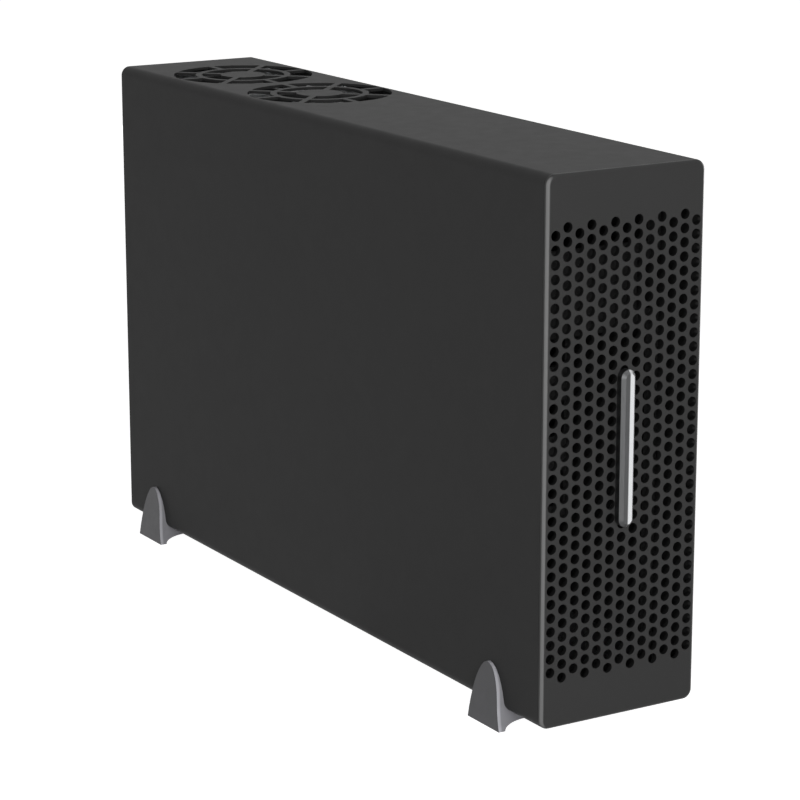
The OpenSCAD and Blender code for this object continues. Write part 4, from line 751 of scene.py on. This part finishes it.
def controller_parts():
    """Leads, cans and small parts over and beside the packages of the controller card."""
    shape = Shape(CARD_FRONT, *PART_MATERIALS)
    rng = random.Random(23)
    length = card_hi.y - card_lo.y
    board_t = BOARD_T / MM
    z0, z1 = EDGE_Z + 3 * board_t, EDGE_Z + 7 * board_t
    taken = [(sink_lo.y, sink_lo.z, sink_hi.y, sink_hi.z)]
    # Leads of the five packages near the card's edge, which stand at shares of its length
    step, rows, half, foot_t = length * 0.06, 4, 0.2, 0.22
    for k in range(5):
        y0 = card_lo.y + (k + 0.6) * step
        y1 = card_lo.y + (k + 1.2) * step
        for i in range(rows):
            z = z0 + (i + 0.5) * (z1 - z0) / rows
            for low, high in ((y0 - 1.0, y0 + 0.05), (y1 - 0.05, y1 + 1.0)):
                shape.block((low, z - half, 0.0), (high, z + half, foot_t), M_TIN)
            for low, high in ((y0 - 0.3, y0 + 0.05), (y1 - 0.05, y1 + 0.3)):
                shape.block((low, z - half, foot_t), (high, z + half, 1.3), M_TIN)
        taken.append((y0 - 1.4, z0 - 0.6, y1 + 1.4, z1 + 0.6))
    # Sleeves over the three cans in the upper corner
    for k in range(3):
        y = card_lo.y + (k + 1) * length * 0.08
        z = card_hi.z - 8 * board_t
        can(shape, y, z, 2 * board_t + 0.1, 5 * board_t + 0.1)
        taken.append(room(y, z, 4))
    # Chips and coils beside the heat sink
    middle = (sink_lo.z + sink_hi.z) / 2
    for side in (-1, 1):
        y, z = sink_hi.y + 17, middle + side * 11
        chip(shape, y, z, 7.0, 7.0, 0.9, 8, True)
        taken.append(room(y, z, 5))
    coil(shape, sink_lo.y - 10, middle + 6, 6.8, 3.2)
    coil(shape, sink_lo.y - 10, middle - 6, 6.8, 3.2)
    taken.append((sink_lo.y - 15, middle - 11, sink_lo.y - 5, middle + 11))
    scatter(shape, rng, (card_lo.y + 3, EDGE_Z + 2, card_hi.y - 10, card_hi.z - 3), taken, 130)
    shape.finish("controller_parts", "card_cage")
    back = Shape(CARD_BACK, *PART_MATERIALS)
    y = -(sink_lo.y + sink_hi.y) / 2
    scatter(back, rng, (y - 12, middle - 12, y + 12, middle + 12), [], 40)
    scatter(back, rng, (-card_hi.y + 10, EDGE_Z + 2, -card_lo.y - 3, card_hi.z - 3), [], 50)
    back.finish("controller_back_parts", "card_cage")


backplane_parts()
connector_contacts()
card_fingers()
controller_parts()


# Leads inside the cage, with the route of each lead in millimetres

FRONT_FAN_ROUTE = [
    (27, 24, 247.5), (27, 10, 247.5), (27, 10, 209.7), (27, 10, 127.1), (34, 23.8, 101.1),
    (34, 23.8, 77.1)]
REAR_FAN_ROUTE = [
    (20, 111, 247.5), (20, 107.5, 247.5), (20, 107.5, 235.8), (20, 87.5, 235.8), (20, 30, 235.8),
    (20, 10, 235.8), (20, 10, 205.8), (20, 10, 127.1), (24, 23.8, 101.1), (24, 23.8, 77.1)]
POWER_ROUTE = [
    (-22, 64.8, 32.05), (-22, 40.8, 32.05), (-22, -34.2, 32.05), (-22, -40.2, 44.05),
    (-22, -40.2, 62.6), (-22, -34.2, 70.6), (-22, 1.8, 70.6)]


def smooth(points, steps):
    """A curve that bends from one middle of the route to the next."""
    p = [Vector(point) for point in points]
    out = [p[0]]
    for i in range(1, len(p) - 1):
        a, c = (p[i - 1] + p[i]) / 2, (p[i] + p[i + 1]) / 2
        for k in range(0 if i == 1 else 1, steps + 1):
            t = k / steps
            out.append(a * (1 - t) ** 2 + p[i] * (2 * t * (1 - t)) + c * t * t)
    out.append(p[-1])
    return out


def strands(route, rings, lay):
    """Paths of wires laid round a route, in metres, and the frames along the route.

    Rings lists (wires, radius), and lay is the length of one turn. A frame is a place on the route,
    two directions across it and the distance run, in millimetres.
    """
    line = smooth(route, 10)
    normal = (line[1] - line[0]).orthogonal().normalized()
    frames, run = [], 0.0
    for i, at in enumerate(line):
        along = (line[min(i + 1, len(line) - 1)] - line[max(i - 1, 0)]).normalized()
        normal = (normal - along * normal.dot(along)).normalized()
        run += (at - line[i - 1]).length if i else 0.0
        frames.append((at, normal.copy(), along.cross(normal), run))
    paths = []
    for count, radius in rings:
        for k in range(count):
            path = []
            for at, n, b, run in frames:
                turn = 2 * math.pi * (k / count + run / lay)
                path.append((at + (n * math.cos(turn) + b * math.sin(turn)) * radius) * MM)
            paths.append(path)
    return paths, frames


def wires(name, node, route, rings, wire_r, lay, colours):
    """One curve object with a round wire along each strand. It stands for a lead of the frame."""
    paths, frames = strands(route, rings, lay)
    curve = bpy.data.curves.new(name, "CURVE")
    curve.dimensions = "3D"
    curve.bevel_depth = wire_r * MM
    curve.bevel_resolution = 2
    for colour in colours:
        curve.materials.append(WIRES[colour])
    for index, path in enumerate(paths):
        spline = curve.splines.new("POLY")
        spline.points.add(len(path) - 1)
        spline.use_smooth = True
        spline.material_index = index % len(colours)
        for point, at in zip(spline.points, path):
            point.co = (*at, 1.0)
    piece = bpy.data.objects.new(name, curve)
    scene.collection.objects.link(piece)
    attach(piece, "card_cage")
    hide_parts(node)
    return frames


def tie(name, frames, share, radius):
    """Cable tie: a flat band round the lead and its small head."""
    total = frames[-1][3]
    at, n, b, _ = min(frames, key=lambda f: abs(f[3] - share * total))
    shape = Shape(seat(at * MM, n, b, n.cross(b)), MATERIALS["black_plastic"])
    band, width = 0.5, 1.3
    outer = radius + band
    ring = [(radius, -width), (outer, -width), (outer, width), (radius, width), (radius, -width)]
    shape.turned((0, 0, 0), ring)
    shape.block((radius, -1.6, -width - 0.3), (radius + 2.0, 1.6, width + 0.3), 0, 0.3)
    shape.block((radius + 0.4, 1.6, -width * 0.7), (radius + 0.9, 4.0, width * 0.7), 0, 0.15)
    shape.finish(name, "card_cage")


FAN_RINGS = [(3, 0.68)]
FAN_WIRE_R = 0.58
FAN_LAY = 36.0
FAN_COLOURS = ("red", "black", "yellow")
FAN_TIE_R = 1.4
POWER_RINGS = [(6, 1.5), (12, 3.1)]
POWER_WIRE_R = 0.78
POWER_LAY = 260.0
POWER_COLOURS = ("yellow", "black", "black", "orange", "red", "black")
POWER_TIE_R = 4.05

front_run = wires("fan_wires_front", "fan_lead_front", FRONT_FAN_ROUTE, FAN_RINGS, FAN_WIRE_R, FAN_LAY,
                  FAN_COLOURS)
rear_run = wires("fan_wires_rear", "fan_lead_rear", REAR_FAN_ROUTE, FAN_RINGS, FAN_WIRE_R, FAN_LAY,
                 FAN_COLOURS)
power_run = wires("power_wires", "power_lead", POWER_ROUTE, POWER_RINGS, POWER_WIRE_R, POWER_LAY,
                  POWER_COLOURS)
for index, share in enumerate((0.12, 0.36, 0.62, 0.86)):
    tie("power_tie_%d" % (index + 1), power_run, share, POWER_TIE_R)
tie("fan_tie_front", front_run, 0.62, FAN_TIE_R)
tie("fan_tie_rear", rear_run, 0.72, FAN_TIE_R)


# Floor, world and lamps

SEEN = ("Is Camera Ray", "Is Glossy Ray", "Is Transmission Ray")
FLOOR_HALF = 12.0
FLOOR_DROP = 0.0002
FLOOR_ALBEDO = 0.46
FLOOR_SEEN = 0.97
WORLD_LIT = 0.12
WORLD_SEEN = 1.0


def seen_directly(tree):
    """One where the camera, a reflection or glass sees the surface, and zero for other light."""
    path = tree.nodes.new("ShaderNodeLightPath")
    value = path.outputs[SEEN[0]]
    for name in SEEN[1:]:
        either = tree.nodes.new("ShaderNodeMath")
        either.operation = "MAXIMUM"
        tree.links.new(value, either.inputs[0])
        tree.links.new(path.outputs[name], either.inputs[1])
        value = either.outputs[0]
    return value


def floor_material():
    """Pale matt floor that also glows evenly where it is seen directly."""
    m = bpy.data.materials.new("floor_pale")
    m.use_nodes = True
    tree = m.node_tree
    tree.nodes.clear()
    diffuse = tree.nodes.new("ShaderNodeBsdfDiffuse")
    diffuse.inputs["Color"].default_value = (FLOOR_ALBEDO,) * 3 + (1.0,)
    glow = tree.nodes.new("ShaderNodeEmission")
    level = tree.nodes.new("ShaderNodeMath")
    level.operation = "MULTIPLY"
    level.inputs[1].default_value = FLOOR_SEEN
    tree.links.new(seen_directly(tree), level.inputs[0])
    tree.links.new(level.outputs[0], glow.inputs["Strength"])
    add = tree.nodes.new("ShaderNodeAddShader")
    tree.links.new(diffuse.outputs[0], add.inputs[0])
    tree.links.new(glow.outputs[0], add.inputs[1])
    out = tree.nodes.new("ShaderNodeOutputMaterial")
    tree.links.new(add.outputs[0], out.inputs["Surface"])
    return m


def make_floor():
    """Wide floor just under the feet, which is stage and not part of the chassis."""
    bm = bmesh.new()
    bmesh.ops.create_grid(bm, x_segments=1, y_segments=1, size=FLOOR_HALF)
    mesh = bpy.data.meshes.new("floor")
    bm.to_mesh(mesh)
    bm.free()
    mesh.materials.append(floor_material())
    floor = bpy.data.objects.new("floor", mesh)
    floor.location = (0.0, 0.0, -FLOOR_DROP)
    scene.collection.objects.link(floor)


def make_world():
    """White all round where it is seen directly, and a weak even light for the rest."""
    world = bpy.data.worlds.new("world")
    scene.world = world
    world.use_nodes = True
    tree = world.node_tree
    tree.nodes.clear()
    lit, seen = (tree.nodes.new("ShaderNodeBackground") for _ in range(2))
    lit.inputs["Strength"].default_value = WORLD_LIT
    seen.inputs["Strength"].default_value = WORLD_SEEN
    for shader in (lit, seen):
        shader.inputs["Color"].default_value = (*WHITE, 1.0)
    blend = tree.nodes.new("ShaderNodeMixShader")
    tree.links.new(seen_directly(tree), blend.inputs[0])
    tree.links.new(lit.outputs[0], blend.inputs[1])
    tree.links.new(seen.outputs[0], blend.inputs[2])
    out = tree.nodes.new("ShaderNodeOutputWorld")
    tree.links.new(blend.outputs[0], out.inputs["Surface"])


def lamp(name, at, aim, size, power, size_y=None):
    """Soft square lamp that points at aim, or an oblong one with size_y."""
    data = bpy.data.lights.new(name, "AREA")
    data.shape = "RECTANGLE" if size_y else "SQUARE"
    data.size = size
    if size_y:
        data.size_y = size_y
    data.energy = power
    lamp_object = bpy.data.objects.new(name, data)
    lamp_object.location = at
    lamp_object.rotation_mode = "QUATERNION"
    lamp_object.rotation_quaternion = (Vector(aim) - Vector(at)).to_track_quat("-Z", "Y")
    scene.collection.objects.link(lamp_object)


make_floor()
make_world()
MIDDLE = (0.0, 0.0, 0.14)
lamp("key_front_left", (-1.25, -1.1, 0.46), MIDDLE, 1.6, 15.0, size_y=0.9)
lamp("front", (-0.35, -1.6, 0.5), MIDDLE, 0.9, 14.0)
lamp("fill_right", (1.5, 0.1, 0.0), MIDDLE, 0.5, 13.0)
lamp("fill_rear", (0.4, 1.7, 0.0), MIDDLE, 0.5, 2.2)
lamp("top_front", (0.3, -0.9, 1.5), (0.0, -0.1, 0.2), 1.0, 4.0)
